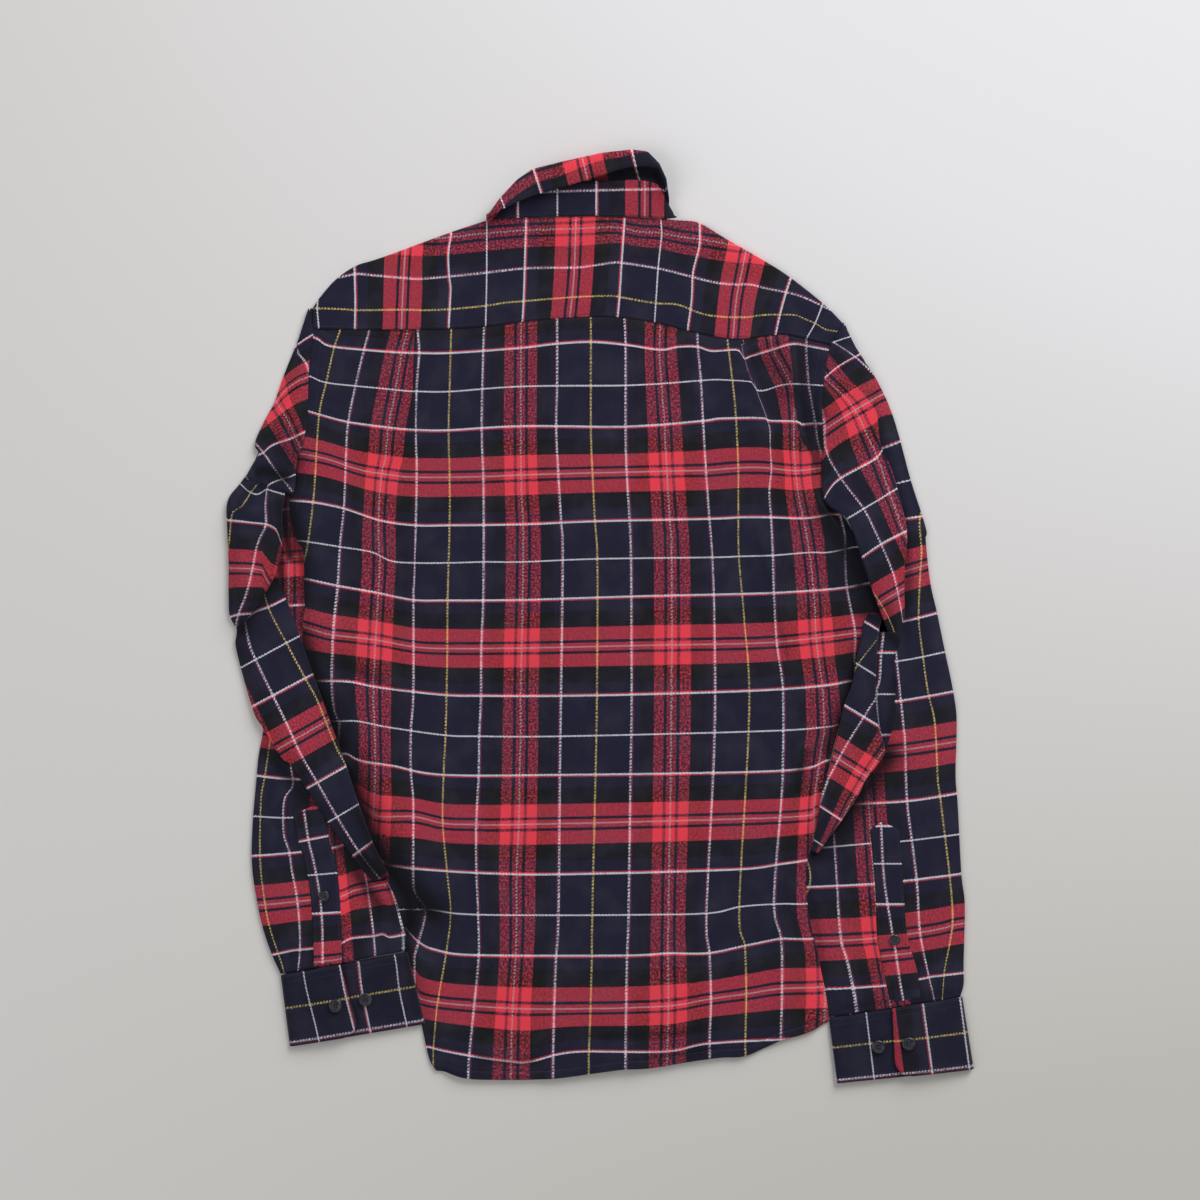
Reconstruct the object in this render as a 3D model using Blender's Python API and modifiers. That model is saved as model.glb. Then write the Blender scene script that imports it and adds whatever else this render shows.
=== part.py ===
"""A flannel shirt laid flat with its back up: each cut piece is a thin wall at its real size.

The origin is on the floor under the middle of the shirt. +X is the wearer's right, +Y points to the
collar and +Z up. Sizes and tables are in millimetres, and MM turns them into metres.
"""

import math

import bmesh
import bpy
import numpy as np

MM = 0.001

# Cloth and seams
WALL = 1.2  # flannel with its nap
CUFF_WALL = 2.4  # two layers and a stiffener
COLLAR_WALL = 1.6
SEAM = 0.3  # clear between two pieces that are sewn together
ON_TOP = WALL + SEAM  # between the mid-surfaces of two walls that lie on each other
FLOOR = WALL / 2  # height of a mid-surface that lies on the floor

# Heights of the mid-surface of the back
BACK_HEIGHT = 5.4
BAND_LIFT = 2.3  # where the back lies over the button band
BAND_LIFT_WIDTH = 48.0

# Centre front, under the back
CENTRE_TOP = (-12.0, 284.0)
CENTRE_HEM = (8.0, -388.0)
PLACKET_WIDTH = 32.0
UNDERLAP = 14.0
LEFT_LIFT = 4.4  # mid-surface of the left front over its band
BAND_SLOPE = (22.0, 64.0)  # from the centre: where the fronts start to come down, and reach the floor
FRONT_HEM = -380.0
FRONT_BUTTON = dict(radius=5.7, height=1.9)
FRONT_BUTTONS = 7
FRONT_BUTTON_PITCH = 88.0
FIRST_BUTTON_DOWN = 70.0

CUFF_BUTTON = dict(radius=5.7, height=2.6)
PLACKET_BUTTON = dict(radius=4.6, height=2.2)
BUTTON_SIDES = 14

# Where the yoke meets the back, from the wearer's left armhole to the right one: (x, y)
YOKE_SEAM = [
    (-249, 250), (-210, 249), (-158, 249), (-101, 252), (-67, 256), (-35, 259), (13, 260),
    (44, 256), (77, 248), (105, 242), (149, 244), (199, 236),
]
# Top outline of the yoke: shoulder, neck seam, shoulder
YOKE_TOP = [
    (-250, 267), (-230, 292), (-212, 304), (-190, 311), (-98, 343), (-50, 345), (0, 346), (67, 344),
    (85, 341), (109, 327), (142, 308), (164, 294), (193, 271), (210, 254),
]
NECK_LEFT, NECK_RIGHT = -98.0, 70.0  # the neck seam runs between these
YOKE_UNDER = 30.0  # how far the yoke turns over the shoulders to the front

HEM = [
    (-143, -395), (-116, -402), (-78, -403), (-42, -402), (-11, -398), (42, -393), (80, -387),
    (124, -383), (157, -369), (178, -363), (198, -352),
]

# Side edges of the back, by height up the shirt: x of the edge, and how far it is turned under
BODY_LEFT = [  # (y, edge_x, turned_under)
    (250, -249, 0), (212, -254, 0), (175, -255, 0), (150, -259, 0), (134, -263, 0), (112, -264, 8),
    (92, -266, 18), (65, -263, 22), (40, -257, 22), (9, -257, 22), (-25, -256, 24), (-57, -243, 28),
    (-90, -226, 34), (-119, -217, 38), (-150, -206, 42), (-191, -193, 46), (-222, -176, 50),
    (-250, -160, 52), (-272, -163, 56), (-310, -160, 60), (-352, -153, 62), (-384, -149, 62),
    (-395, -143, 60),
]
BODY_RIGHT = [  # (y, edge_x, turned_under)
    (236, 199, 0), (206, 194, 0), (176, 192, 0), (146, 193, 0), (134, 190, 0), (112, 191, 6),
    (96, 195, 12), (84, 208, 20), (68, 224, 26), (52, 230, 30), (29, 240, 32), (9, 246, 34),
    (-8, 238, 34), (-40, 226, 34), (-94, 212, 38), (-125, 204, 42), (-170, 194, 46), (-200, 183, 48),
    (-213, 180, 50), (-249, 179, 54), (-279, 184, 58), (-305, 188, 60), (-338, 194, 62), (-351, 196, 60),
]

# Largest folds of the back: a ridge from one place to another, with one steep side
BACK_FOLDS = [  # (x0, y0, x1, y1, height, steep_width, soft_width)
    (-158, 249, -160, 120, 1.7, 3, 26),  # left pleat, which fades down the back
    (122, 240, 146, 148, 2.0, 3, -24),  # right pleat
    (164, 224, 171, 140, 1.4, 4, 18),
    (-262, 20, -214, -120, 1.6, 9, 22),
    (-208, -150, -166, -240, 2.0, 8, 24),
    (222, -60, 186, -206, 1.6, 8, -22),
    (-150, -300, -120, -396, 1.4, 10, 20),
    (176, -262, 168, -352, 1.4, 10, -20),
]

# Sleeves: one row for each section, from the armhole to the cuff. in_ is the edge towards the body and
# out_ the far edge. The top has one long fold: fold is how far its edge lies from the inner edge, lap how far
# the layers overlap there (below 0, a slope), and upper the height of the inner side above the
# outer one, or below it where it is negative. rest is the height of the underside at the inner edge,
# and follow how much of the armhole's curve the section has.
SLEEVE_COLUMNS = ("in_x", "in_y", "out_x", "out_y", "fold", "lap", "upper", "rest", "follow")
SLEEVE_LEFT = [
    (-265, 120, -250, 267, 60, -30, 0.0, 0, 1),
    (-266, 114, -263, 239, 50, -30, 0.0, 0, 0.7),
    (-268, 106, -275, 209, 44, -26, 0.0, 0, 0.4),
    (-271, 96, -285, 180, 34, -20, 0.0, 0, 0.1),
    (-271, 84, -300, 146, 28, -10, -2.0, 0, 0),
    (-268, 68, -316, 112, 22, 2, -5.0, 0, 0),
    (-263, 52, -324, 86, 20, 8, -5.4, 0, 0),
    (-261, 30, -323, 46, 22, 10, -5.4, 0, 0),
    (-261, 8, -322, 6, 38, 6, -5.2, 0, 0),
    (-262, -12, -317, -28, 44, -8, -1.0, 0, 0),
    (-257, -42, -311, -58, 44, -10, 1.0, 0, 0),
    (-241, -74, -302, -84, 52, -8, 3.0, 0, 0),
    (-230, -102, -296, -106, 58, -2, 5.0, 0, 0),
    (-221, -134, -298, -134, 51, 8, 5.4, 0, 0),
    (-210, -166, -302, -165, 33, 13, 5.4, 0, 0),
    (-199, -196, -303, -198, 23, 12, 5.4, 0, 0),
    (-187, -222, -302, -228, 15, 4, 5.0, 0, 0),
    (-177, -246, -298, -254, 16, -12, 1.0, 0, 0),
    (-173, -270, -290, -283, 40, -20, 0.0, 0, 0),
    (-169, -292, -278, -312, 40, -20, 0.0, 0, 0),
]
SLEEVE_RIGHT = [
    (194, 136, 211, 254, 60, -30, 0.0, 0, 1),
    (194.5, 124, 228, 222, 50, -30, 0.0, 0, 0.7),
    (196, 112, 245, 194, 48, -26, 0.0, 0, 0.4),
    (199, 99, 260, 152, 50, -16, 1.0, 1, 0.1),
    (213, 86, 272, 110, 49, -6, 3.0, 6, 0),
    (221, 68, 280, 80, 45, 5, 5.4, 7, 0),
    (227, 52, 284, 56, 37, 11, 5.6, 7, 0),
    (237, 29, 287, 26, 25, 12, 5.6, 7, 0),
    (243, 6, 292, -2, 18, 10, 5.6, 7, 0),
    (237, -14, 296, -20, 14, 7, 5.6, 7, 0),
    (226, -36, 299, -38, 17, 8, 5.6, 7, 0),
    (217, -62, 304, -60, 22, 10, 5.6, 7, 0),
    (208, -94, 309, -92, 31, 12, 5.6, 7, 0),
    (201, -122, 308, -122, 43, 12, 5.6, 7, 0),
    (195, -150, 308, -150, 34, 12, 5.6, 7, 0),
    (189, -180, 311, -180, 22, 8, 5.6, 6, 0),
    (184, -207, 312, -206, 16, -4, 3.0, 2, 0),
    (183, -234, 313, -232, 30, -20, 0.0, 0, 0),
    (187, -274, 316, -268, 40, -20, 0.0, 0, 0),
    (193, -304, 315, -300, 40, -20, 0.0, 0, 0),
    (196, -330, 315, -318, 40, -20, 0.0, 0, 0),
    (199, -349, 312, -331, 40, -20, 0.0, 0, 0),
]
SLEEVE_HEIGHT = 5.2  # mid-surface of the lowest top layer

# Cuffs: corners in plan, where the end that lies on top has its edge, as a share of the width,
# and the radius of its corner. The first button of each pair is in that end.
CUFF_COLUMNS = ("seam_in", "seam_out", "hem_in", "hem_out", "edge_seam", "edge_hem", "corner")
CUFF_LEFT = ((-171, -292.67), (-277, -312.12), (-157.5, -355), (-269, -374), 0.53, 0.475, 15)
CUFF_RIGHT = ((199, -349.3), (313, -331.15), (205, -406), (323, -394), 0.473, 0.43, 15)
CUFF_UNDERLAP = 22.0

# Sleeve plackets: a strip on the sleeve's top, by its centre line, with its point at the elbow end
PLACKET_LEFT = [(-254, -166), (-250, -192), (-243, -224), (-238, -260), (-238, -302)]
PLACKET_RIGHT = [(244, -179), (247, -205), (251, -240), (256, -280), (265, -333)]
SLEEVE_PLACKET_WIDTH = 25.0

CUFF_BUTTONS_LEFT = [(-230, -338), (-204, -333)]
CUFF_BUTTONS_RIGHT = [(267, -371), (241, -374)]
PLACKET_BUTTON_LEFT = (-240, -243)
PLACKET_BUTTON_RIGHT = (255, -281)

# Collar, by x across the neck: where the stand ends, where the leaf turns over and its free edge
COLLAR = [  # (x, stand_top_y, turn_y, free_edge_y)
    (-96, 348, 350, 347), (-87, 358, 363, 352), (-72, 369, 379, 358), (-59, 374, 388, 363),
    (-35, 377, 394, 372), (1, 379, 402, 383), (26, 380, 405, 390), (40, 379, 404, 391),
    (50, 376, 393, 389), (56, 366, 380, 377),
]
FRONT_STAND = 26.0  # height of the stand at the centre front
STAND_UNDER = 3.7  # mid-surface of its front half
LEAF_FRONT = 44.0  # depth of the leaf at the side of the neck
LEAF_POINT = 66.0  # and at its points
NECK_DROP = 58.0  # from the neck seam at the back to the front one

COLOURS = dict(
    navy=(0.020, 0.021, 0.048, 1.0), red=(0.42, 0.035, 0.055, 1.0), wine=(0.15, 0.02, 0.045, 1.0),
    black=(0.012, 0.012, 0.015, 1.0),
)


def soft(t):
    """0 to 1 with no corner at either end."""
    t = np.clip(t, 0.0, 1.0)
    return t * t * (3 - 2 * t)


def spline(points, count):
    """count points along a smooth curve through the points, evenly spaced."""
    p = np.array(points, float)
    p = np.vstack([2 * p[0] - p[1], p, 2 * p[-1] - p[-2]])
    fine = []
    for a, b, c, d in zip(p, p[1:], p[2:], p[3:]):
        for t in np.linspace(0, 1, 12, endpoint=False):
            fine.append(0.5 * (2 * b + (c - a) * t + (2 * a - 5 * b + 4 * c - d) * t**2
                               + (3 * b - a - 3 * c + d) * t**3))
    fine = np.array(fine + [p[-2]])
    along = np.concatenate([[0], np.cumsum(np.linalg.norm(np.diff(fine, axis=0), axis=1))])
    at = np.linspace(0, along[-1], count)
    return np.stack([np.interp(at, along, fine[:, k]) for k in range(fine.shape[1])], axis=1)


def edge_at(table, y, number):
    """A column of a table whose first column falls from the collar to the hem."""
    fine = spline(table, 240)
    return np.interp(-np.asarray(y, float), -fine[:, 0], fine[:, number])


def centre_x(y):
    """x of the centre front."""
    share = (CENTRE_TOP[1] - y) / (CENTRE_TOP[1] - CENTRE_HEM[1])
    return CENTRE_TOP[0] + share * (CENTRE_HEM[0] - CENTRE_TOP[0])


def back_height(x, y):
    """Mid-surface of the back and the yoke where they lie over the fronts."""
    z = BACK_HEIGHT + BAND_LIFT * np.exp(-(((x - centre_x(y)) / BAND_LIFT_WIDTH) ** 2))
    for x0, y0, x1, y1, height, steep, gentle in BACK_FOLDS:
        along = (y - y0) / (y1 - y0)
        across = (x - (x0 + (x1 - x0) * np.clip(along, 0, 1))) * np.sign(gentle)
        rise = np.where(across < 0, np.exp(-((across / steep) ** 2)),
                        np.exp(-((across / abs(gentle)) ** 2)))
        fade = soft((along + 0.15) / 0.2) * soft((1.1 - along) / 0.4)
        z = z + height * rise * fade
    return z


def material(name, colour, roughness):
    made = bpy.data.materials.new(name)
    made.use_nodes = True
    shader = made.node_tree.nodes["Principled BSDF"]
    shader.inputs["Base Color"].default_value = COLOURS[colour]
    shader.inputs["Roughness"].default_value = roughness
    shader.inputs["Metallic"].default_value = 0.0
    return made


def cloth(name, grid, colour, wall=WALL, round_=False):
    """An open surface through a grid of points, made a wall. round_ joins the last column to the first."""
    grid = np.asarray(grid, float) * MM
    rows, columns = grid.shape[:2]
    mesh = bpy.data.meshes.new(name)
    surface = bmesh.new()
    points = [[surface.verts.new(p) for p in row] for row in grid]
    last = columns if round_ else columns - 1
    for i in range(rows - 1):
        for j in range(last):
            k = (j + 1) % columns
            surface.faces.new((points[i][j], points[i][k], points[i + 1][k], points[i + 1][j]))
    surface.to_mesh(mesh)
    surface.free()
    mesh.shade_smooth()
    piece = bpy.data.objects.new(name, mesh)
    SHIRT.objects.link(piece)
    piece.data.materials.append(material(name, colour, 0.95))
    thick = piece.modifiers.new("wall", "SOLIDIFY")
    thick.thickness = wall * MM
    thick.offset = 0.0
    return piece


def turned_edge(half, height, under, rolled, count_roll, count_under):
    """Offsets from the middle of a panel and drops in height, for the columns at its side.

    rolled is 0 where the side lies flat, as at an armhole, and 1 where it turns under to the floor.
    """
    radius = (height - FLOOR) / 2
    count = count_roll + count_under
    flat = np.stack([half - 2.0 * np.arange(count, 0, -1) + 2.0, np.zeros(count)], axis=1)
    angle = math.pi * np.arange(1, count_roll + 1) / count_roll
    roll = np.stack([half - radius + radius * np.sin(angle), radius * (1 - np.cos(angle))], axis=1)
    step = max(under, 6.0) / count_under
    tail = np.stack([half - radius - step * np.arange(1, count_under + 1),
                     np.full(count_under, 2 * radius)], axis=1)
    return flat * (1 - rolled) + np.vstack([roll, tail]) * rolled


def back_grid():
    """The back, from the yoke seam to the hem, with its sides turned under to the side seams."""
    rows, across, roll, under = 27, 25, 4, 2
    seam, hem = spline(YOKE_SEAM, 200), spline(HEM, 200)
    grid = []
    for v in np.linspace(0, 1, rows):
        y_left = (1 - v) * (seam[0, 1] - SEAM) + v * hem[0, 1]
        y_right = (1 - v) * (seam[-1, 1] - SEAM) + v * hem[-1, 1]
        left, right = edge_at(BODY_LEFT, y_left, 1), edge_at(BODY_RIGHT, y_right, 1)
        under_left, under_right = edge_at(BODY_LEFT, y_left, 2), edge_at(BODY_RIGHT, y_right, 2)
        middle, half = (left + right) / 2, (right - left) / 2
        turned_left = turned_edge(half, BACK_HEIGHT, under_left, soft(under_left / 12), roll, under)
        turned_right = turned_edge(half, BACK_HEIGHT, under_right, soft(under_right / 12), roll, under)
        inner = half - (BACK_HEIGHT - FLOOR) / 2 - 10
        top = np.stack([np.linspace(-inner, inner, across), np.zeros(across)], axis=1)
        section = np.vstack([turned_left[::-1] * (-1, 1), top, turned_right])
        x = middle + section[:, 0]
        share = np.clip((x - left) / (right - left), 0, 1)
        y_seam = np.interp(share, np.linspace(0, 1, 200), seam[:, 1]) - SEAM
        y_hem = np.interp(share, np.linspace(0, 1, 200), hem[:, 1])
        y = (1 - v) * y_seam + v * y_hem
        z = np.where(section[:, 1] > 0, BACK_HEIGHT - section[:, 1], back_height(x, y))
        grid.append(np.stack([x, y, z], axis=1))
    return np.array(grid)


def yoke_grid():
    """The yoke: flat over the back, round the shoulders and a little way down the fronts."""
    across, rows, roll, under = 31, 6, 3, 2
    low, high = spline(YOKE_SEAM, across), spline(YOKE_TOP, 400)
    start, end = YOKE_SEAM[0][0], YOKE_SEAM[-1][0]
    grid = []
    for j, (x_low, y_low) in enumerate(low):
        share = j / (across - 1)
        x_high = YOKE_TOP[0][0] + share * (YOKE_TOP[-1][0] - YOKE_TOP[0][0])
        y_high = np.interp(x_high, high[:, 0], high[:, 1])
        beside_neck = max(NECK_LEFT - x_high, x_high - NECK_RIGHT)
        rolled = soft(beside_neck / 14)
        half = y_high - y_low - SEAM * (1 - rolled)
        height = back_height(x_high, y_high)
        side = turned_edge(half, height, min(YOKE_UNDER, half - 6), rolled, roll, under)
        inner = half - (height - FLOOR) / 2 - 10
        top = np.stack([np.linspace(SEAM, inner, rows), np.zeros(rows)], axis=1)
        section = np.vstack([top, side])
        x = x_low + (x_high - x_low) * np.clip(section[:, 0] / half, 0, 1)
        x = x + SEAM * (1 - 2 * share)
        y = y_low + section[:, 0]
        z = np.where(section[:, 1] > 0, height - section[:, 1], back_height(x, y))
        z = np.maximum(z, FLOOR)
        grid.append(np.stack([x, y, z], axis=1))
    return np.array(grid)


def front_height(x, y, lift):
    """Mid-surface of a front: on the floor, raised over the button band and the collar leaf."""
    near_band = soft((BAND_SLOPE[1] - abs(x - centre_x(y))) / (BAND_SLOPE[1] - BAND_SLOPE[0]))
    near_collar = soft((y - 222) / 30) * soft((112 - abs(x + 14)) / 24)
    return FLOOR + np.maximum((lift - FLOOR) * near_band, 2.2 * near_collar)


def make_front(name, side, colour, back, yoke):
    """One front, sewn to the yoke, the armhole and the side of the back. side is -1 for the wearer's left."""
    side_seam = back[:, 0 if side < 0 else -1, :2] - (side * SEAM, 0)
    shoulder = yoke[:, -1, :2] - (0, SEAM + 0.6)
    beyond_neck = shoulder[:, 0] * side > (NECK_RIGHT + 12 if side > 0 else -NECK_LEFT + 12)
    shoulder = shoulder[beyond_neck][:: -side]
    if side < 0:
        past, lift, neck, top = PLACKET_WIDTH / 2 - 1, LEFT_LIFT, NECK_LEFT + 6, CENTRE_TOP[1] - 24
    else:
        past, lift, neck, top = UNDERLAP, LEFT_LIFT + ON_TOP, NECK_RIGHT - 6, CENTRE_TOP[1] - 6
    side_line = np.vstack([shoulder[:1] - (side * 1.5, 0), side_seam[1:]])
    band = [(centre_x(y) - side * past, y) for y in np.linspace(top, FRONT_HEM, len(side_line) - 3)]
    edge = np.vstack([spline([shoulder[-1], (neck, 304), (neck * 0.6, 290), band[0]], 4)[:-1], band])
    from_edge = np.array([0.0, past + BAND_SLOPE[0], past + sum(BAND_SLOPE) / 2, past + BAND_SLOPE[1]])
    grid = []
    for a, b in zip(side_line, edge):
        near = 1 - from_edge[::-1] / abs(b[0] - a[0])
        share = np.concatenate([np.linspace(0, near[0], 5), near[1:]])
        plan = a + (b - a) * share[:, None]
        if not grid:
            plan[:, 1] = np.interp(plan[:, 0] * -side, shoulder[:, 0] * -side, shoulder[:, 1])
        grid.append(np.column_stack([plan, front_height(plan[:, 0], plan[:, 1], lift)]))
    return cloth(name, grid, colour)


def make_front_placket():
    """The button band, on the outside of the left front and so under it here."""
    rows = 14
    grid = []
    for y in np.linspace(CENTRE_TOP[1] - 40, FRONT_HEM + 1, rows):
        x = centre_x(y) + PLACKET_WIDTH * np.array([-0.5, 0.0, 0.5])
        grid.append(np.column_stack([x, np.full(3, y), np.full(3, LEFT_LIFT - ON_TOP)]))
    return cloth("front_placket", grid, "wine")


def ring_of(control, per_span=2):
    """A closed smooth section that stays within its control points."""
    control = np.asarray(control, float)
    before, after = np.roll(control, 1, axis=0), np.roll(control, -1, axis=0)
    points = []
    for t in np.arange(per_span) / per_span:
        points.append(0.5 * ((1 - t) ** 2 * before + (1 + 2 * t - 2 * t * t) * control + t * t * after))
    return np.stack(points, axis=1).reshape(-1, control.shape[1])


def sleeve_levels(row):
    """Mid-surface heights of a section: inner top, outer top and the underside at the inner edge."""
    rest = FLOOR + row["rest"]
    outer = SLEEVE_HEIGHT + max(0.0, -row["upper"])
    inner = max(SLEEVE_HEIGHT + max(0.0, row["upper"]), rest + 3.4)
    return inner, outer, rest


def sleeve_section(row):
    """Control points (from the inner edge, height) round a flattened tube with one fold on its top."""
    width = math.dist((row["in_x"], row["in_y"]), (row["out_x"], row["out_y"]))
    inner, outer, rest = sleeve_levels(row)
    first = row["fold"] if row["upper"] >= 0 else row["fold"] + row["lap"]
    second = first - row["lap"]
    between = (inner + outer) / 2
    return [
        (0.0, rest), (0.0, inner), (min(6.0, first * 0.4), inner), (first * 0.55, inner),
        (first - 3.0, inner), (first + 1.0, inner), (first + 1.0, between),
        (second - 1.0, between), (second - 1.0, outer), (second + 3.0, outer),
        (second + (width - second) * 0.5, outer), (width - 5.0, outer), (width, outer),
        (width, FLOOR), (width - 7.0, FLOOR), (width * 0.62, FLOOR), (min(24.0, width * 0.4), FLOOR),
        (7.0, rest),
    ]


def armhole_bend(share, side):
    """How far the armhole lies from the straight line between its ends, at a share of its length."""
    if side < 0:
        body, corner, sleeve = BODY_LEFT, YOKE_TOP[0], SLEEVE_LEFT
    else:
        body, corner, sleeve = BODY_RIGHT, YOKE_TOP[-1], SLEEVE_RIGHT
    in_x, in_y, out_x, out_y = sleeve[0][:4]
    seam_y, seam_x, _ = body[0]
    y = in_y + share * (out_y - in_y)
    x = edge_at(body, np.minimum(y, seam_y), 1)
    x += (corner[0] - seam_x) * np.clip((y - seam_y) / (corner[1] - seam_y), 0, 1)
    clear = SEAM + (WALL + 0.3) * (1 - share) ** 2
    return x + side * clear - (in_x + share * (out_x - in_x))


def sleeve_point(row, section):
    """Points of a section in space."""
    section = np.asarray(section, float)
    start = np.array([row["in_x"], row["in_y"]], float)
    end = np.array([row["out_x"], row["out_y"]], float)
    share = section[:, :1] / np.linalg.norm(end - start)
    plan = start + share * (end - start)
    if row["follow"]:
        plan[:, 0] += row["follow"] * armhole_bend(share[:, 0], -1 if start[0] < 0 else 1)
    return np.column_stack([plan, section[:, 1]])


def make_sleeve(name, table, colour):
    rows = [dict(zip(SLEEVE_COLUMNS, values)) for values in table]
    return cloth(name, [sleeve_point(row, ring_of(sleeve_section(row))) for row in rows], colour,
                 round_=True)


def sleeve_top(table, y):
    """Height of the mid-surface of a sleeve's outer side at y."""
    rows = [dict(zip(SLEEVE_COLUMNS, values)) for values in table]
    middle = [-(row["in_y"] + row["out_y"]) / 2 for row in rows]
    return np.interp(-y, middle, [sleeve_levels(row)[1] for row in rows])


def make_cuff(name, cuff, colour):
    """A stiff band round the wrist: its free end lies on top, over the end with the buttons."""
    part = dict(zip(CUFF_COLUMNS, cuff))
    low, under, over = CUFF_WALL / 2, CUFF_WALL / 2 + 3.2, CUFF_WALL / 2 + 3.2 + CUFF_WALL + 0.5
    seam_in, seam_out = np.array(part["seam_in"], float), np.array(part["seam_out"], float)
    hem_in, hem_out = np.array(part["hem_in"], float), np.array(part["hem_out"], float)
    grid = []
    for v in (0, 0.25, 0.5, 0.72, 0.86, 0.95, 1.0):
        start, end = seam_in + v * (hem_in - seam_in), seam_out + v * (hem_out - seam_out)
        edge = part["edge_seam"] + v * (part["edge_hem"] - part["edge_seam"])
        width = np.linalg.norm(end - start)
        deep = np.linalg.norm(hem_in - seam_in) * (1 - v)
        corner = part["corner"]
        inset = corner - math.sqrt(max(0.0, corner**2 - max(0.0, corner - deep) ** 2))
        free = edge * width + inset
        tucked = edge * width + CUFF_UNDERLAP
        # The two ends of the band pass each other, and the upper one comes down beyond the lower one.
        section = np.array([
            (free, over), (max(tucked + 6.0, free + 14.0), over),
            (max(width - 9.0, tucked + 12.0), under + 1.6),
            (width - 2.0, under), (width, (under + low) / 2), (width - 2.0, low),
            (width * 0.66, low), (width * 0.33, low), (2.0, low), (0.0, (under + low) / 2),
            (2.0, under), (edge * width * 0.5, under), (edge * width, under - 0.1), (tucked, under - 0.2),
        ])
        along = (end - start) / width
        grid.append(np.column_stack([start + section[:, :1] * along, section[:, 1]]))
    return cloth(name, grid, colour, wall=CUFF_WALL)


def make_sleeve_placket(name, centre, table, colour):
    """The strip over the slit above the cuff, with a point at its top."""
    rows = 9
    line = spline(centre, rows)
    half = SLEEVE_PLACKET_WIDTH / 2
    grid = []
    for i, (x, y) in enumerate(line):
        point = half * 0.5 if i == 0 else 0.0
        offsets = np.array([-half, -half / 2, half / 2, half])
        drop = np.abs(offsets) / half * point
        z = sleeve_top(table, y - drop) + ON_TOP
        grid.append(np.column_stack([x + offsets, y - drop, z]))
    return cloth(name, grid, colour)


def neck_front(x):
    """y of the neck seam at the front, and how near x is to the middle."""
    left, right = NECK_LEFT + 7, NECK_RIGHT - 13
    dip = np.sin(math.pi * np.clip((x - left) / (right - left), 0, 1)) ** 0.8
    return 346.5 - NECK_DROP * dip, dip


def round_neck(back, front_x, front):
    """A row of points from the centre front, round the left side, the back and the right side."""
    middle = (front_x[0] + front_x[-1]) / 2
    left, right = front[front_x < middle], front[front_x > middle][::-1]
    turns = [(a + b) / 2 + (step, 0, 0) for a, b, step in ((left[0], back[0], -2.5), (right[0], back[-1], 2.5))]
    return np.vstack([left[::-1], turns[0], back, turns[1], right])


def make_collar_stand():
    """The stand: its back half rises from the yoke and shows, and its front half lies under the yoke."""
    table = np.array(COLLAR, float)
    grid = []
    for v in np.linspace(0, 1, 4):
        left, right = NECK_LEFT + 5.5 + 2.0 * v, NECK_RIGHT - 10.0 - 7.5 * v
        x = np.linspace(left, right, 16)
        top = np.interp(x, table[:, 0], table[:, 1]) - SEAM
        seam = np.interp(x, [p[0] for p in YOKE_TOP], [p[1] for p in YOKE_TOP]) + COLLAR_WALL / 2 + SEAM
        z = 7.4 + 4.0 * v + 1.5 * np.sin(math.pi * (x - left) / (right - left))
        back = np.column_stack([x, seam + (top - seam) * v, z])
        front_x = np.linspace(left, right, 12)
        seam_y, dip = neck_front(front_x)
        front_y = seam_y + v * FRONT_STAND * (0.15 + 0.85 * dip)
        grid.append(round_neck(back, front_x, np.column_stack([front_x, front_y, np.full(12, STAND_UNDER)])))
    return cloth("collar_stand", grid, "red", wall=COLLAR_WALL)


def make_collar_leaf():
    """The leaf: at the back it turns over above the stand, and at the front it lies on the floor."""
    table = np.array(COLLAR, float)
    left, right = COLLAR[0][0], COLLAR[-1][0]
    x = np.linspace(left, right, 19)
    stand, turn, free = (np.interp(x, table[:, 0], table[:, k]) for k in (1, 2, 3))
    low = 12.4 + 1.5 * np.sin(math.pi * (x - left) / (right - left))
    top = low + 6.5
    back = [
        (stand + 1.9, low + 0.3), (stand + (turn - stand) * 0.6 + 0.5, low + 0.6), (turn - 1.0, low + 1.8),
        (turn, (low + top) / 2 + 0.4), (turn - 1.5, top - 0.6), (turn + (free - turn) * 0.5, top + 0.9),
        (free, top + 0.2),
    ]
    front_x = np.linspace(left, right, 12)
    seam_y, dip = neck_front(front_x)
    fold_y = seam_y + FRONT_STAND * (0.15 + 0.85 * dip) + COLLAR_WALL + 2.0
    to_middle = 1 - np.abs(front_x - (left + right) / 2) / ((right - left) / 2)
    point = soft((to_middle - 0.6) / 0.4)
    outward = np.sign(front_x - (left + right) / 2) * 26 * point
    deep = (LEAF_FRONT + (LEAF_POINT - LEAF_FRONT) * point) * soft(to_middle / 0.3)
    front = [
        (0, 0.0, STAND_UNDER), (0, 2.0, STAND_UNDER - 0.3), (0, 3.4, STAND_UNDER - 0.9),
        (0, 3.8, (STAND_UNDER + COLLAR_WALL / 2) / 2), (0, 2.6, COLLAR_WALL / 2 + 0.1),
        (0.5, 0.0, COLLAR_WALL / 2), (1.0, 0.0, COLLAR_WALL / 2),
    ]
    grid = []
    for (y, z), (down, over, under_z) in zip(back, front):
        front_y = fold_y + over - down * deep
        plan = np.column_stack([front_x + outward * down, front_y, np.full(12, under_z)])
        grid.append(round_neck(np.column_stack([x, y, z]), front_x, plan))
    return cloth("collar_leaf", grid, "navy", wall=COLLAR_WALL)


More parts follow.
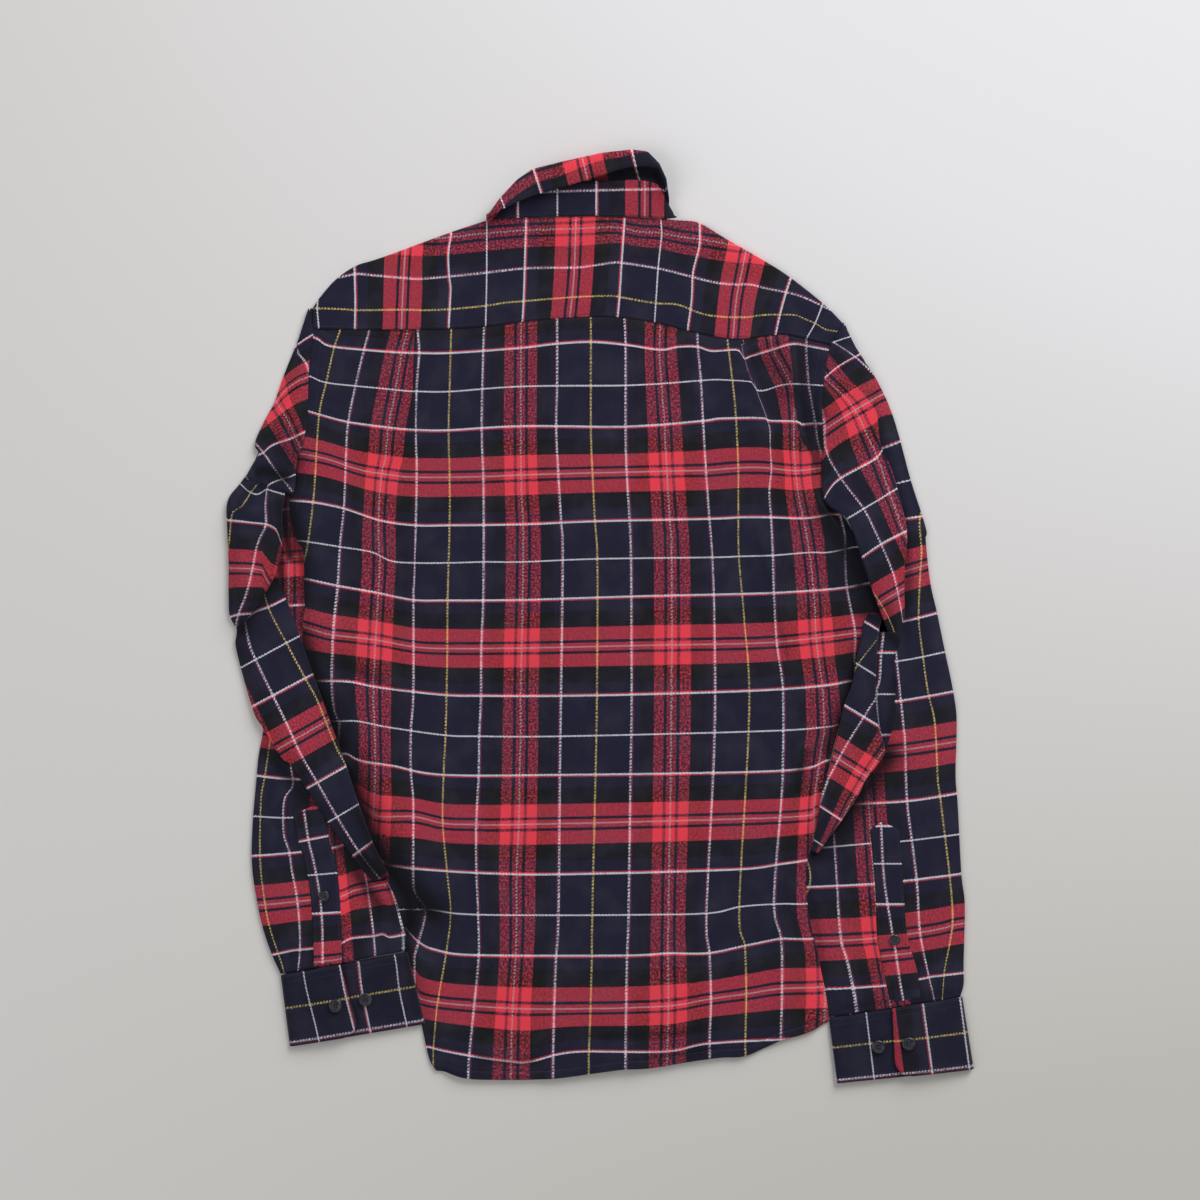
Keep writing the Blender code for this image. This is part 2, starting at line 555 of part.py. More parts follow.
def make_button(name, place, z, radius, height):
    """A turned button: a disc with a raised rim round a shallow well."""
    profile = [
        (0.0, height * 0.72), (radius * 0.62, height * 0.72), (radius * 0.78, height),
        (radius * 0.94, height * 0.86), (radius, height * 0.5), (radius * 0.8, 0.0), (0.0, 0.0),
    ]
    mesh = bpy.data.meshes.new(name)
    outline = bmesh.new()
    points = [outline.verts.new((r * MM, 0.0, h * MM)) for r, h in profile]
    for a, b in zip(points, points[1:]):
        outline.edges.new((a, b))
    outline.to_mesh(mesh)
    outline.free()
    button = bpy.data.objects.new(name, mesh)
    SHIRT.objects.link(button)
    button.location = (place[0] * MM, place[1] * MM, z * MM)
    button.data.materials.append(material(name, "black", 0.35))
    turn = button.modifiers.new("turned", "SCREW")
    turn.steps = turn.render_steps = BUTTON_SIDES
    turn.use_merge_vertices = True
    turn.merge_threshold = 0.00005
    turn.use_smooth_shade = True
    return button


def make_buttons():
    for i in range(FRONT_BUTTONS):
        y = CENTRE_TOP[1] - FIRST_BUTTON_DOWN - FRONT_BUTTON_PITCH * i
        make_button(f"front_button_{i + 1}", (centre_x(y), y), 0.1, **FRONT_BUTTON)
    over_z = CUFF_WALL + 3.2 + SEAM
    for side, places in (("left", CUFF_BUTTONS_LEFT), ("right", CUFF_BUTTONS_RIGHT)):
        for i, place in enumerate(places):
            z = over_z + (CUFF_WALL + 0.5 if i == 0 else 0.0)
            make_button(f"cuff_button_{side}_{i + 1}", place, z, **CUFF_BUTTON)
    for side, place, table in (("left", PLACKET_BUTTON_LEFT, SLEEVE_LEFT),
                               ("right", PLACKET_BUTTON_RIGHT, SLEEVE_RIGHT)):
        z = sleeve_top(table, place[1]) + ON_TOP + WALL / 2 + SEAM
        make_button(f"placket_button_{side}", place, z, **PLACKET_BUTTON)


for old in list(bpy.data.objects):
    bpy.data.objects.remove(old, do_unlink=True)
SHIRT = bpy.data.collections.new("flannel_shirt")
bpy.context.scene.collection.children.link(SHIRT)

BACK, YOKE = back_grid(), yoke_grid()
cloth("back", BACK, "navy")
cloth("yoke", YOKE, "red")
make_front("front_left", -1, "navy", BACK, YOKE)
make_front("front_right", 1, "navy", BACK, YOKE)
make_front_placket()
make_collar_stand()
make_collar_leaf()
make_sleeve("sleeve_left", SLEEVE_LEFT, "red")
make_sleeve("sleeve_right", SLEEVE_RIGHT, "red")
make_cuff("cuff_left", CUFF_LEFT, "navy")
make_cuff("cuff_right", CUFF_RIGHT, "navy")
make_sleeve_placket("sleeve_placket_left", PLACKET_LEFT, SLEEVE_LEFT, "wine")
make_sleeve_placket("sleeve_placket_right", PLACKET_RIGHT, SLEEVE_RIGHT, "wine")
make_buttons()
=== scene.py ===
"""Looks of a flannel shirt that lies flat with its back up, on the frame of its solid model.

Outlines are in millimetres, in the frame of the model: +X is the wearer's right, +Y points to the collar.
The tartan's lines are on a chart whose unit is CHART millimetres, with x to the right and y down.
"""

import functools
import math

import bmesh
import bpy
import numpy as np
from mathutils import Matrix, Vector
from mathutils.bvhtree import BVHTree


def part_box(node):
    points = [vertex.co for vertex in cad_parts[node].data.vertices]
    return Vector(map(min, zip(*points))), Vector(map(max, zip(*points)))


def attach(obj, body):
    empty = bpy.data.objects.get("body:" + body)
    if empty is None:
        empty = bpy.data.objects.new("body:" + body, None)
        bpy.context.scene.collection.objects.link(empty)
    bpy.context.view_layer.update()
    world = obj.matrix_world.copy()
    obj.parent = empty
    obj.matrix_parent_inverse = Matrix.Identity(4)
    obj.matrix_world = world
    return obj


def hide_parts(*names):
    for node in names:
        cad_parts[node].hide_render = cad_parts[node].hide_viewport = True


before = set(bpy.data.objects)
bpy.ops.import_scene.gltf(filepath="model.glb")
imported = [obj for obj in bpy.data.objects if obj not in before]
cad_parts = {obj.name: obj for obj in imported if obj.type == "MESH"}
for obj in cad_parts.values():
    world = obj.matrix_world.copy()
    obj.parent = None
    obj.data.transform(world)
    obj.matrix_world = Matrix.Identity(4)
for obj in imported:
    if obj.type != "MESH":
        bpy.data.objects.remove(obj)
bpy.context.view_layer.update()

bl_info = {
    "name": "Flannel Shirt",
    "version": (1, 0, 0),
    "blender": (4, 5, 0),
    "location": "View3D > Sidebar > Shirt",
    "description": "A tartan flannel shirt laid flat with its back up",
    "category": "Object",
}

MM = 0.001
CHART = 0.87  # millimetres to a unit of the chart
CHART_ORIGIN = (600.8, 615.8)  # where the model's origin is on the chart
CHART_SIZE = 1200  # the chart is a square, and the camera shows all of it

FLOOR = 0.55  # mid-surface of cloth that lies on the floor
HEM_DEEP = 7.0  # how deep the back's hem is turned up

# --- Outlines (mm) ---

YOKE_SEAM = [
    (-249, 250), (-210, 249), (-158, 249), (-133, 250), (-101, 252), (-67, 256), (-35, 259), (-9, 260),
    (13, 260), (44, 256), (77, 248), (105, 242), (125, 241), (149, 244), (166, 244), (199, 236),
]
YOKE_TOP = [
    (-250, 267), (-244, 276), (-230, 292), (-212, 304), (-190, 311), (-98, 343), (-50, 345), (0, 346),
    (67, 343), (85, 341), (109, 327), (142, 308), (164, 294), (193, 271), (210, 254),
]
BODY_LEFT = [
    (-249, 250), (-254, 212), (-255, 175), (-259, 150), (-264, 137), (-265, 118), (-271, 100), (-273, 89), (-265, 65),
    (-259, 55), (-259, 9), (-262, -10), (-263, -25), (-259, -38), (-252, -60), (-238, -90), (-227, -119),
    (-217, -150), (-203, -191), (-196, -213), (-191, -226), (-184, -240), (-179, -256), (-175, -278), (-169, -295),
    (-164, -317), (-159, -336), (-156, -352), (-149, -384), (-143, -395),
]
BODY_RIGHT = [
    (199, 236), (198, 230), (194, 206), (193, 196), (192, 176), (194, 146), (192, 134), (197, 105), (214, 80),
    (228, 55), (238, 26), (243, 4), (228, -14), (218, -58), (207, -94), (199, -125), (190, -170), (182, -213),
    (183, -249), (189, -279), (192, -305), (196, -320), (199, -338), (198, -352),
]
HEM = [
    (-143, -395), (-136, -396), (-116, -402), (-78, -403), (-42, -402), (-11, -398), (19, -394), (42, -393),
    (80, -387), (104, -384), (124, -383), (142, -376), (157, -369), (178, -363), (198, -352),
]
YOKE_GUIDES = [[(-190, 311), (-185, 249)], [(-98, 343), (-98, 252)], [(0, 346), (0, 260)], [(67, 343), (67, 250)],
    [(142, 308), (140, 243)]]
NECK = (-98.0, 67.0)  # ends of the neck seam on the yoke
PLEAT_LEFT = [(-160, 249), (-161, 125), (-160, 0), (-158, -120), (-150, -240), (-142, -330), (-135, -396)]
PLEAT_RIGHT = [(120, 241), (125, 222), (133, 194), (142, 171), (146, 150), (150, 60), (154, 0), (156, -60),
    (152, -250), (155, -300), (155, -369)]
INNER_FOLD = [(160, 244), (163, 222), (167, 160), (169, 140), (174, 60), (180, 0), (186, -60), (170, -250),
    (172, -300), (176, -363)]
# How far the back's sides go on underneath, from the top: (mm, height)
LEFT_TURNED_UNDER = [(3, 150), (18, 92), (22, 9), (34, -90), (46, -191), (56, -272), (60, -352), (60, -400)]
RIGHT_TURNED_UNDER = [(3, 140), (12, 96), (30, 52), (34, -8), (38, -94), (48, -200), (58, -279), (60, -360)]

# --- The tartan's lines on the chart: place in the repeat, then points ---

BACK_DOWN = [
    (-222, [(341, 331), (335, 348), (327, 383), (320, 415), (316, 476), (314, 502), (309, 541), (304, 562),
        (295, 590), (288, 640), (294, 700), (300, 760)]),
    (-187, [(369.6, 333), (365, 350), (356.6, 385), (349, 423), (347, 454), (345, 508), (341, 545), (339, 586),
        (335, 629), (333, 681), (336, 712), (341, 721)]),
    (-148, [(408, 333), (403, 351), (396, 391), (389, 428), (386, 458.5), (382, 476), (379, 520), (380.5, 564),
        (379, 594), (376.5, 636), (374, 686), (375, 723), (376, 764), (375, 798), (374, 814)]),
    (-109, [(418, 333), (419.5, 353), (417, 391), (416, 429), (417, 467), (416, 525), (414.5, 562), (413.6, 600),
        (413.6, 691), (411, 730), (411, 770), (413.6, 803), (413.6, 868), (415, 892), (426, 910), (419.5, 940),
        (415, 955)]),
    (-74, [(451.6, 331), (450, 391), (449, 430), (450, 478), (450, 525), (448, 601), (447.7, 648), (447, 696),
        (446, 735), (444, 774), (443, 821), (447.5, 870), (451, 911), (446.6, 952), (438, 1001), (433.6, 1048)]),
    (-39, [(485, 328), (484, 350), (482.4, 428), (484, 477), (484.5, 524), (484, 600), (482, 648), (481.7, 697),
        (480, 736), (479.5, 775), (477, 823), (477, 872), (478.7, 914), (479.5, 955), (475, 1005), (470, 1055),
        (469, 1077)]),
    (0, [(521.4, 324), (521.4, 476), (523.6, 524), (523.6, 562), (523, 601), (522, 648), (521, 697), (521, 736),
        (520, 776), (519, 824), (517, 872), (517, 914), (516, 956), (513, 1006), (511.6, 1059)]),
    (39, [(557, 320), (557, 384), (556, 427), (558, 472), (561, 522), (562.6, 560), (560, 750), (558.4, 915),
        (556, 956), (554, 1007), (553, 1052)]),
    (74, [(591, 320), (591, 427), (592.6, 472), (595, 521), (597.5, 560), (597.2, 680), (596, 760), (592.4, 913),
        (592, 956), (590.7, 1007), (589, 1051)]),
    (109, [(625, 320), (626, 346), (626, 427), (627, 472), (630, 520), (631.4, 560), (631.9, 640), (632, 720),
        (631, 770), (629, 913), (627.4, 956), (626.5, 1007), (626, 1051)]),
    (148, [(660.6, 322), (659.4, 352), (661.5, 385), (664.4, 424), (666.8, 471), (669.7, 519), (671.8, 559),
        (671, 740), (668.4, 913), (667.8, 953), (668.4, 1006), (667, 1053)]),
    (187, [(697, 333), (697.6, 349), (700.5, 381), (702.6, 422), (705.5, 471), (709, 517.5), (712, 556), (714, 620),
        (714, 740), (706, 913), (709, 953), (710.4, 998), (709, 1042)]),
    (222, [(727, 339), (730, 363.5), (734, 397), (736, 422), (738, 469), (738, 519), (738.7, 560), (744, 620),
        (749, 710), (739, 906), (744.7, 945.5), (746, 994), (745, 1041)]),
    (257, [(740, 338), (743, 360), (754, 391), (766, 420), (769, 430), (768.5, 448), (771, 470), (769, 490),
        (771, 515), (773, 555), (774, 594), (777, 644), (783, 690), (783, 770), (781, 806), (774, 903), (781.4, 938),
        (782, 988), (781, 1038)]),
    (296, [(770.5, 339), (773, 351), (783, 370), (791, 385), (793.5, 400), (793.5, 440), (795, 470), (799, 500),
        (808, 545), (813.6, 592), (816, 640), (822, 686), (824, 728), (821, 747), (817, 775), (814, 800), (813, 830),
        (813, 860), (814, 900), (815, 925), (820, 942), (823, 956), (824, 980), (824.5, 1000), (823, 1025),
        (822, 1045)]),
    (335, [(806, 338), (805.5, 352), (806.5, 368), (808, 386), (811.5, 406), (815, 426), (819, 449), (842, 525),
        (844, 549), (846, 588), (854, 630), (854, 661)]),
]
# Folds that part the back's lines: see Weave
BACK_FOLDS = [
    (-148, -109, [(416, 300), (415, 500), (411, 700), (411, 900)], 440, 640),
    (222, 257, [(739.5, 338), (743, 360), (754, 390.5), (765.5, 418), (769, 430), (771, 470), (773, 600)], 400, 520),
    (296, 335, [(791, 338), (792, 385), (796, 424), (800, 440), (812, 455), (822, 480)], 452, 492),
]
BACK_ACROSS = [
    (-123, [(312, 336), (320, 340), (330, 346), (365, 350), (411, 353), (451, 353), (521, 348), (555, 344),
        (591, 342), (626, 345), (660, 350), (678, 347), (697, 347), (712, 351.5), (738, 350.5), (742, 360),
        (752, 356), (771, 350), (792, 344), (807, 346), (828, 350)]),
    (-85, [(311, 377), (326, 383), (357, 386.5), (393.5, 390), (416, 392), (451, 392), (521, 387), (626, 386),
        (700, 381), (715, 380), (748, 382), (752.5, 384.5), (755, 391), (765, 391), (780, 386), (795, 384.5),
        (822, 386)]),
    (-47, [(309, 412), (322, 416), (349, 423), (389, 428.5), (416, 431), (449, 431.2), (521, 427.2), (626, 427.8),
        (702, 422), (720, 419.5), (762, 419), (768, 421.5), (796, 422.5), (800, 425.5), (812, 424.5), (824, 424.5)]),
    (0, [(303, 454), (330, 460), (360, 470), (390, 475), (415, 477.5), (480, 477), (545, 474.5), (690, 471),
        (705, 471), (740, 468), (765, 468), (795, 471), (821, 468)]),
    (47, [(289, 500), (314, 502), (344, 508), (380, 520), (416, 525), (450, 525), (524, 524), (595, 521),
        (709, 518.5), (740, 517), (770, 517), (805, 518), (830, 514)]),
    (85, [(303, 541), (341, 547), (372, 552), (391, 561), (414, 563), (449, 563), (484, 562), (523, 562), (597, 559),
        (712, 557.5), (740, 556.5), (773, 555.5), (809, 552.5), (828, 552.5), (854, 547)]),
    (123, [(307, 579.5), (339, 586.5), (379, 593.6), (414, 600.5), (448, 601), (523, 600.5), (640, 596.8), (760, 594),
        (814, 591), (846, 588), (871, 583)]),
    (170, [(302, 626), (320, 631.6), (334, 635), (376.5, 640), (414, 646.7), (448, 648.5), (522, 648), (600, 646.3),
        (660, 645), (760, 643), (816, 638), (854, 633)]),
    (217, [(318, 680), (350, 681), (374, 686), (414, 691), (450, 694.5), (480, 695), (558, 695), (660, 693),
        (760, 689.5), (822, 685), (851, 680)]),
    (255, [(341, 721), (359, 721), (389, 727), (446, 735), (480, 736), (558, 736), (760, 731), (824, 727),
        (839, 724)]),
    (293, [(348, 754), (361, 761), (393.5, 766), (443, 775), (558, 775), (780, 771), (829, 760)]),
    (340, [(359, 801), (367, 809), (380, 816), (414, 816), (445, 823), (477, 824), (519, 824), (780, 817),
        (817, 811.6)]),
    (387, [(385, 858), (389, 864), (448, 870), (517, 873), (558, 873), (600, 872), (650, 871), (700, 869.5),
        (750, 867.5), (780, 863), (807, 859)]),
    (425, [(430, 909), (479, 914), (627, 914), (707, 912.6), (740, 906), (774, 903.5), (808, 903.5)]),
    (463, [(406.5, 928), (419, 941), (437, 950), (479, 955), (627, 955), (668, 953), (708, 953), (745, 945.5),
        (781, 938)]),
    (510, [(417, 991), (428, 1000), (513, 1007.5), (591, 1007.5), (668, 1005), (710, 998), (746, 993), (782, 987)]),
    (557, [(429, 1046), (469, 1054), (511, 1060), (530, 1060), (576, 1050), (664, 1050), (708, 1042), (781, 1038)]),
]
YOKE_DOWN = [
    (-85, [(318.7, 300), (318, 310), (319.5, 328)]), (-47, [(355.5, 265), (356.5, 300), (356, 330)]),
    (0, [(406, 250), (404, 280), (403, 300), (402, 330)]),
    (47, [(451, 236), (448, 255), (449, 277), (450.5, 288), (450, 300), (448.5, 330)]),
    (85, [(487, 222), (487, 274), (486, 325)]), (123, [(527, 219), (525.5, 270), (524.5, 300), (523, 325)]),
    (170, [(576, 220), (575, 260), (573, 290), (570, 318)]), (217, [(624, 220), (621, 264), (619, 297), (617, 318)]),
    (255, [(660.5, 219), (661.5, 235), (660, 250), (658, 269), (656, 300), (654.5, 322)]),
    (293, [(700, 226), (700, 245), (697, 258), (693, 275), (692, 300), (688, 330)]),
    (340, [(746, 250), (741, 275), (736, 300), (733, 335)]), (387, [(790, 278), (785, 293), (779, 315), (775, 334)]),
    (425, [(823, 303), (815, 323), (807, 337)]),
]
YOKE_ACROSS = [
    (0, [(440, 239), (460, 237.5), (480, 235), (526, 231.5), (575, 230), (612, 228.5), (624, 230), (640, 233),
        (660, 234), (680, 238), (700, 240.5), (738, 246.5)]),
    (39, [(340, 278), (357, 274.5), (375, 276), (404, 278.5), (420, 279.5), (450, 277), (480, 274), (526, 269),
        (575, 268.5), (590, 267), (612, 263.5), (622, 263.5), (658, 269), (692, 277.5), (715, 283), (735, 285),
        (750, 285), (765, 289), (785, 293), (805, 299), (832, 312)]),
    (74, [(315, 309), (345, 310), (357, 311), (404, 310.5), (425, 311), (450, 310), (487, 306.5), (505, 303.5),
        (524, 302), (575, 298), (612, 297), (625, 299), (655, 304), (670, 304.5), (680, 306), (690, 310), (700, 314),
        (715, 317), (735, 318), (750, 317.5), (765, 315.5), (793, 315.5), (803, 319), (815, 324), (825, 330),
        (837, 332)]),
]

RIGHT_UPPER_DOWN = [
    (-74, [(795, 440), (820, 497), (838, 532), (860, 572), (876, 597), (889, 620), (900, 650)]),
    (-39, [(804, 360), (823, 412), (826, 450), (840, 478), (863, 509), (880, 544), (892, 573), (897, 595),
        (902, 622)]),
    (0, [(823, 378), (840, 394), (852, 407), (864, 430), (877, 459), (889, 495), (900, 528)]),
    (39, [(833, 343), (855, 358), (870, 372), (886, 388), (905, 420), (930, 480)]),
]
RIGHT_UPPER_ACROSS = [
    (-595, [(833, 343), (857, 335)]), (-557, [(825, 378), (838, 367), (857, 356), (872, 350)]),
    (-510, [(827, 428), (852, 412), (869, 402), (882, 395), (892, 394)]),
    (-463, [(822, 504), (828, 491), (840, 478), (874, 459), (884, 447), (900, 441)]),
    (-425, [(840, 522), (848, 518), (863, 509), (878, 500), (896, 489)]),
    (-387, [(852, 566), (864, 556), (880, 545), (905, 532)]), (-340, [(862, 614), (879, 603), (903, 588)]),
    (-293, [(870, 655), (890, 645), (905, 636)]),
]
RIGHT_LOWER_DOWN = [
    (-74, [(803, 850), (809.5, 868), (810, 882), (806, 895), (800, 906)]),
    (-39, [(832, 800), (834, 837), (837, 887), (841, 938), (847, 958), (854, 988), (858, 1015)]),
    (0, [(860, 700), (868, 804), (872, 860), (879, 940), (890, 1005)]),
    (39, [(880, 500), (890, 600), (902, 720), (904, 740), (906, 800), (911, 841), (916, 883), (919, 931), (927, 970),
        (935, 1002)]),
    (74, [(925, 440), (925, 495), (919, 522), (921, 550), (919, 582), (918, 620), (922, 655), (927, 691), (934, 722),
        (937, 778), (939, 793), (944, 834), (949, 876), (952, 917), (949, 942), (943, 972), (941, 1000)]),
]
RIGHT_LOWER_ACROSS = [
    (-557, [(838, 367), (857, 356), (872, 350)]), (-510, [(862, 407), (882, 395), (892, 394)]),
    (-463, [(870, 452), (885, 447), (900, 441)]), (-425, [(895, 484), (911, 480)]), (-387, [(908, 519), (922, 517)]),
    (-340, [(903, 572), (928, 564)]), (-293, [(860, 628), (902, 621), (935, 613)]),
    (-255, [(860, 665), (904, 660), (944, 652)]), (-217, [(860, 705), (900, 701), (953, 692)]),
    (-170, [(860, 754), (906, 749), (952, 742)]), (-123, [(856, 803), (908, 800), (955, 793)]),
    (-85, [(825, 847), (867, 843), (898, 841), (959, 834)]), (-47, [(809, 887), (870, 884), (902, 881), (960, 874)]),
    (0, [(812, 941), (870, 938), (930, 930), (955, 924)]),
    (47, [(827, 988), (886, 984), (918, 978), (934, 975), (963, 972)]),
]
RIGHT_FLAP_DOWN = [
    (-74, [(882, 628), (876, 640), (857, 665), (846, 690)]),
    (-39, [(880, 620), (878, 644), (876, 693), (869, 707), (847, 742), (828, 778)]),
    (0, [(905, 690), (895, 730), (872, 765), (850, 800)]),
]
RIGHT_FLAP_ACROSS = [
    (-123, [(866, 622), (877, 629)]), (-85, [(857, 664), (874, 675)]), (-47, [(846, 707), (877, 726)]),
    (0, [(832, 755), (869, 778)]), (47, [(821, 806), (842, 820)]),
]
RIGHT_INNER_DOWN = [(39, [(882, 637), (880, 655), (878.5, 680), (875.5, 692), (877, 720), (880, 735)]), (74,
    [(917, 637), (914, 680), (910, 692), (912, 735)])]
RIGHT_INNER_ACROSS = [(-293, [(870, 652), (905, 652)]), (-255, [(870, 694), (905, 694)]), (-217, [(870, 735),
    (905, 735)])]
PLACKET_RIGHT_DOWN = [
    (0, [(842, 823), (852, 924), (866, 1008)]),
    (39, [(880, 823), (883, 878), (890, 924), (894, 947), (899, 981), (904, 1008)]),
    (74, [(913, 823), (919, 878), (926, 947), (938, 1008)]),
]
PLACKET_RIGHT_ACROSS = [(-85, [(868, 863), (900, 863)]), (-47, [(868, 904), (905, 904)]), (0, [(876, 956),
    (910, 952)]), (47, [(890, 1003), (919, 1000)])]
CUFF_RIGHT_DOWN = [(-85, [(866, 1015), (874, 1081)]), (47, [(922, 1007), (931, 1073)]), (85, [(960, 999), (972, 1069)])]
CUFF_RIGHT_ACROSS = [(45, [(832, 1015), (967, 997)]), (74, [(832, 1047), (967, 1032)]), (109, [(832, 1080),
    (967, 1066)])]

LEFT_UPPER_DOWN = [
    (-39, [(257, 444), (265, 453), (278, 472), (290, 487)]),
    (0, [(262, 372), (276, 400), (287, 417), (292, 427), (303, 452)]),
    (39, [(296, 338), (298, 352), (306, 363), (310, 377), (310, 400)]),
]
LEFT_UPPER_ACROSS = [
    (-47, [(298, 346), (305, 341), (314.7, 335)]), (0, [(277, 402), (285, 392), (298, 382), (307, 378)]),
    (47, [(265, 452), (272, 446), (280, 442.5), (291, 439)]),
]
LEFT_FOLD_DOWN = [
    (-74, [(268, 477), (255, 490), (244, 507), (235, 512), (232, 525), (230, 545), (224, 580)]),
    (-39, [(268, 490), (267, 505), (268, 525), (262, 538), (258, 550), (253, 575), (248, 595), (242, 610), (238, 622)]),
]
LEFT_FOLD_ACROSS = [
    (-255, [(240, 483), (250, 492), (258, 495), (263, 493), (268, 490), (275, 492)]),
    (-217, [(229, 521), (250, 523), (267, 525), (277, 530), (281, 540), (284, 548)]),
    (-170, [(229, 568), (262, 570), (266, 576), (272, 588)]), (-123, [(229, 617), (240, 614), (262, 612)]),
]
LEFT_UNDER_DOWN = [(0, [(289, 500), (289, 640)])]
LEFT_UNDER_ACROSS = [(-47, [(280, 510), (302, 509)]), (0, [(281, 558), (302, 556)]), (47, [(281, 605.5), (302, 604.5)])]
LEFT_STRIP_DOWN = [
    (39, [(243, 600), (249, 640), (257, 661), (274, 696), (288, 724), (302, 754), (319, 783), (338, 816), (360, 851),
        (380, 877), (395, 899), (401, 925)]),
    (74, [(262, 575), (269, 607), (287, 642), (305, 676), (319, 702), (336, 744), (345, 761), (380, 820)]),
]
LEFT_STRIP_ACROSS = [
    (-170, [(240, 577), (290, 555)]), (-123, [(245, 620), (256, 611), (270, 606), (286, 598)]),
    (-85, [(239, 669), (298, 637)]), (-47, [(253, 707), (313, 675)]), (0, [(280, 748), (329, 720)]),
    (47, [(308, 787), (347, 765)]), (85, [(333, 819), (360, 803)]), (123, [(360, 851), (372, 842)]),
    (170, [(380, 905), (405, 890)]),
]
LEFT_LOWER_DOWN = [
    (-74, [(272, 735), (266, 775), (262, 800), (261, 855), (264, 890), (270, 925), (280, 955), (286, 974)]),
    (-39, [(292, 768), (294, 785), (286, 797), (284, 815), (285, 835), (290, 850), (293, 870), (297, 890), (300, 915),
        (301, 945), (298, 974)]),
    (0, [(330, 780), (331, 853), (334, 905), (337, 959)]),
    (39, [(358, 820), (362, 855), (366, 875), (371, 910), (374, 935), (376, 959)]),
    (56, [(366, 820), (372, 862), (377, 878), (383, 900), (388, 925), (390, 958)]),
    (39, [(376, 820), (381, 866), (388, 880), (395, 900), (400, 918), (403, 935), (403, 958)]),
]
LEFT_LOWER_ACROSS = [
    (-123, [(258, 775), (290, 778), (330, 779)]), (-85, [(255, 816), (293, 817), (340, 810)]),
    (-47, [(254, 856), (290, 853), (332, 848), (350, 843), (380, 838)]),
    (0, [(258, 905), (305, 900), (340, 896), (355, 890), (378, 885), (400, 881)]),
    (47, [(272, 954), (295, 949), (315, 947), (341, 942), (352, 937), (373, 935), (384, 933), (390, 936),
        (408, 933)]),
]
PLACKET_LEFT_DOWN = [
    (0, [(264, 797), (279, 871), (284, 970)]),
    (39, [(303, 797), (306, 820), (309, 840), (314, 860), (318, 880), (321, 900), (323, 930), (323, 970)]),
    (74, [(335, 797), (350, 871), (358, 970)]),
]
PLACKET_LEFT_ACROSS = [(-170, [(292, 791), (325, 788)]), (-123, [(298, 841), (328, 835)]), (-85, [(304, 875),
    (340, 872)]), (-47, [(304, 914), (342, 912)]), (0, [(310, 962), (342, 958)])]
CUFF_LEFT_DOWN = [(-85, [(302, 975), (306, 1000), (316, 1042)]), (-47, [(342, 968), (346, 990), (354, 1022)]), (47,
    [(359, 965), (362, 990), (371, 1033)]), (85, [(400, 957), (404, 985), (411, 1025)])]
CUFF_LEFT_ACROSS = [(45, [(285, 972), (416, 950)]), (74, [(285, 1008), (416, 986)]), (109, [(285, 1043), (416, 1021)])]
STAND_DOWN = [(-123, [(517.7, 190), (517.7, 220)]), (-85, [(557.6, 180), (557.6, 220)]), (-47, [(597, 180),
    (597, 220)]), (0, [(644.6, 180), (644.6, 220)])]
STAND_ACROSS = [(39, [(480, 197), (560, 193), (680, 190)])]
LEAF_DOWN = [
    (-85, [(497, 180), (501, 198), (505, 210)]), (-47, [(530, 152), (534, 170), (542, 195)]),
    (0, [(578, 140), (581, 155), (587, 180)]), (47, [(626, 140), (630, 150), (634, 166)]),
    (85, [(663, 150), (668, 170)]),
]
LEAF_ACROSS = [
    (0, [(488, 205), (503, 187), (518, 176.5), (533, 170), (560, 161.5), (580, 153), (598, 145), (620, 136),
        (644, 126), (665, 130)]),
    (37, [(488, 252), (533, 209), (560, 200), (598, 188), (620, 189), (644, 189), (665, 190)]),
]

# --- Sleeves: (inner edge, outer edge) of each shown layer, in mm ---

RIGHT_UPPER_EDGES = (
    [(209, 255), (201, 237), (198, 230), (194, 206), (193, 196), (192, 176), (194, 146), (192, 134), (195, 100),
     (214, 84), (226, 52), (233.5, 29), (241, 9), (255.5, -30)],
    [(211, 254), (224, 228), (237, 209), (243, 196), (243, 180), (246, 160), (250, 135), (256, 114), (265, 74),
     (263, 42), (263, 5), (264.5, -31)],
)
RIGHT_LOWER_EDGES = (
    [(218, 232), (225, 212), (230, 195), (231, 175), (234, 155), (242, 120), (252, 80), (250, 40), (250, 0),
     (246, -30), (232, -60), (230, -94), (238, -118), (226, -138), (216, -152), (200, -174), (184, -200), (179, -222),
     (180, -250), (184, -275), (190, -299), (199, -348)],
    [(222, 232), (237, 209), (245, 194), (253, 175), (260, 152), (269, 118), (279, 87), (283, 72), (282, 66),
     (286, 29), (292, 2), (299, -32), (306, -66), (309, -92), (308, -138), (310, -166), (313, -224), (316, -251),
     (315, -301), (315, -320), (312, -331)],
)
RIGHT_FLAP_EDGES = (
    [(231, 2), (229, -5), (226, -21), (222, -38), (218, -60), (211, -79), (205, -106), (199, -130), (193, -147),
     (190, -167), (187, -186), (183, -204)],
    [(246, 2), (242, -8), (240, -21), (238.5, -43), (238, -64), (238.5, -80), (241.5, -99), (246, -117),
     (239.5, -129), (229.5, -142), (222, -157), (209.5, -176), (198, -192), (188, -206)],
)
RIGHT_INNER_EDGES = (
    [(236, -14), (235, -24), (234.5, -36), (233, -64), (234, -78), (238, -99), (244, -114)],
    [(261, -14), (261, -24), (261, -36), (262, -64), (259, -86), (254, -104), (250, -114)],
)
LEFT_UPPER_EDGES = (
    [(-248, 267), (-245, 250), (-250, 244), (-254, 212), (-255, 175), (-259, 150), (-264, 137), (-266, 113),
     (-268, 106)],
    [(-252, 267), (-263, 239), (-275, 209), (-283, 186), (-291, 171), (-299, 154), (-300, 147), (-297, 141),
     (-303, 130), (-309, 119)],
)
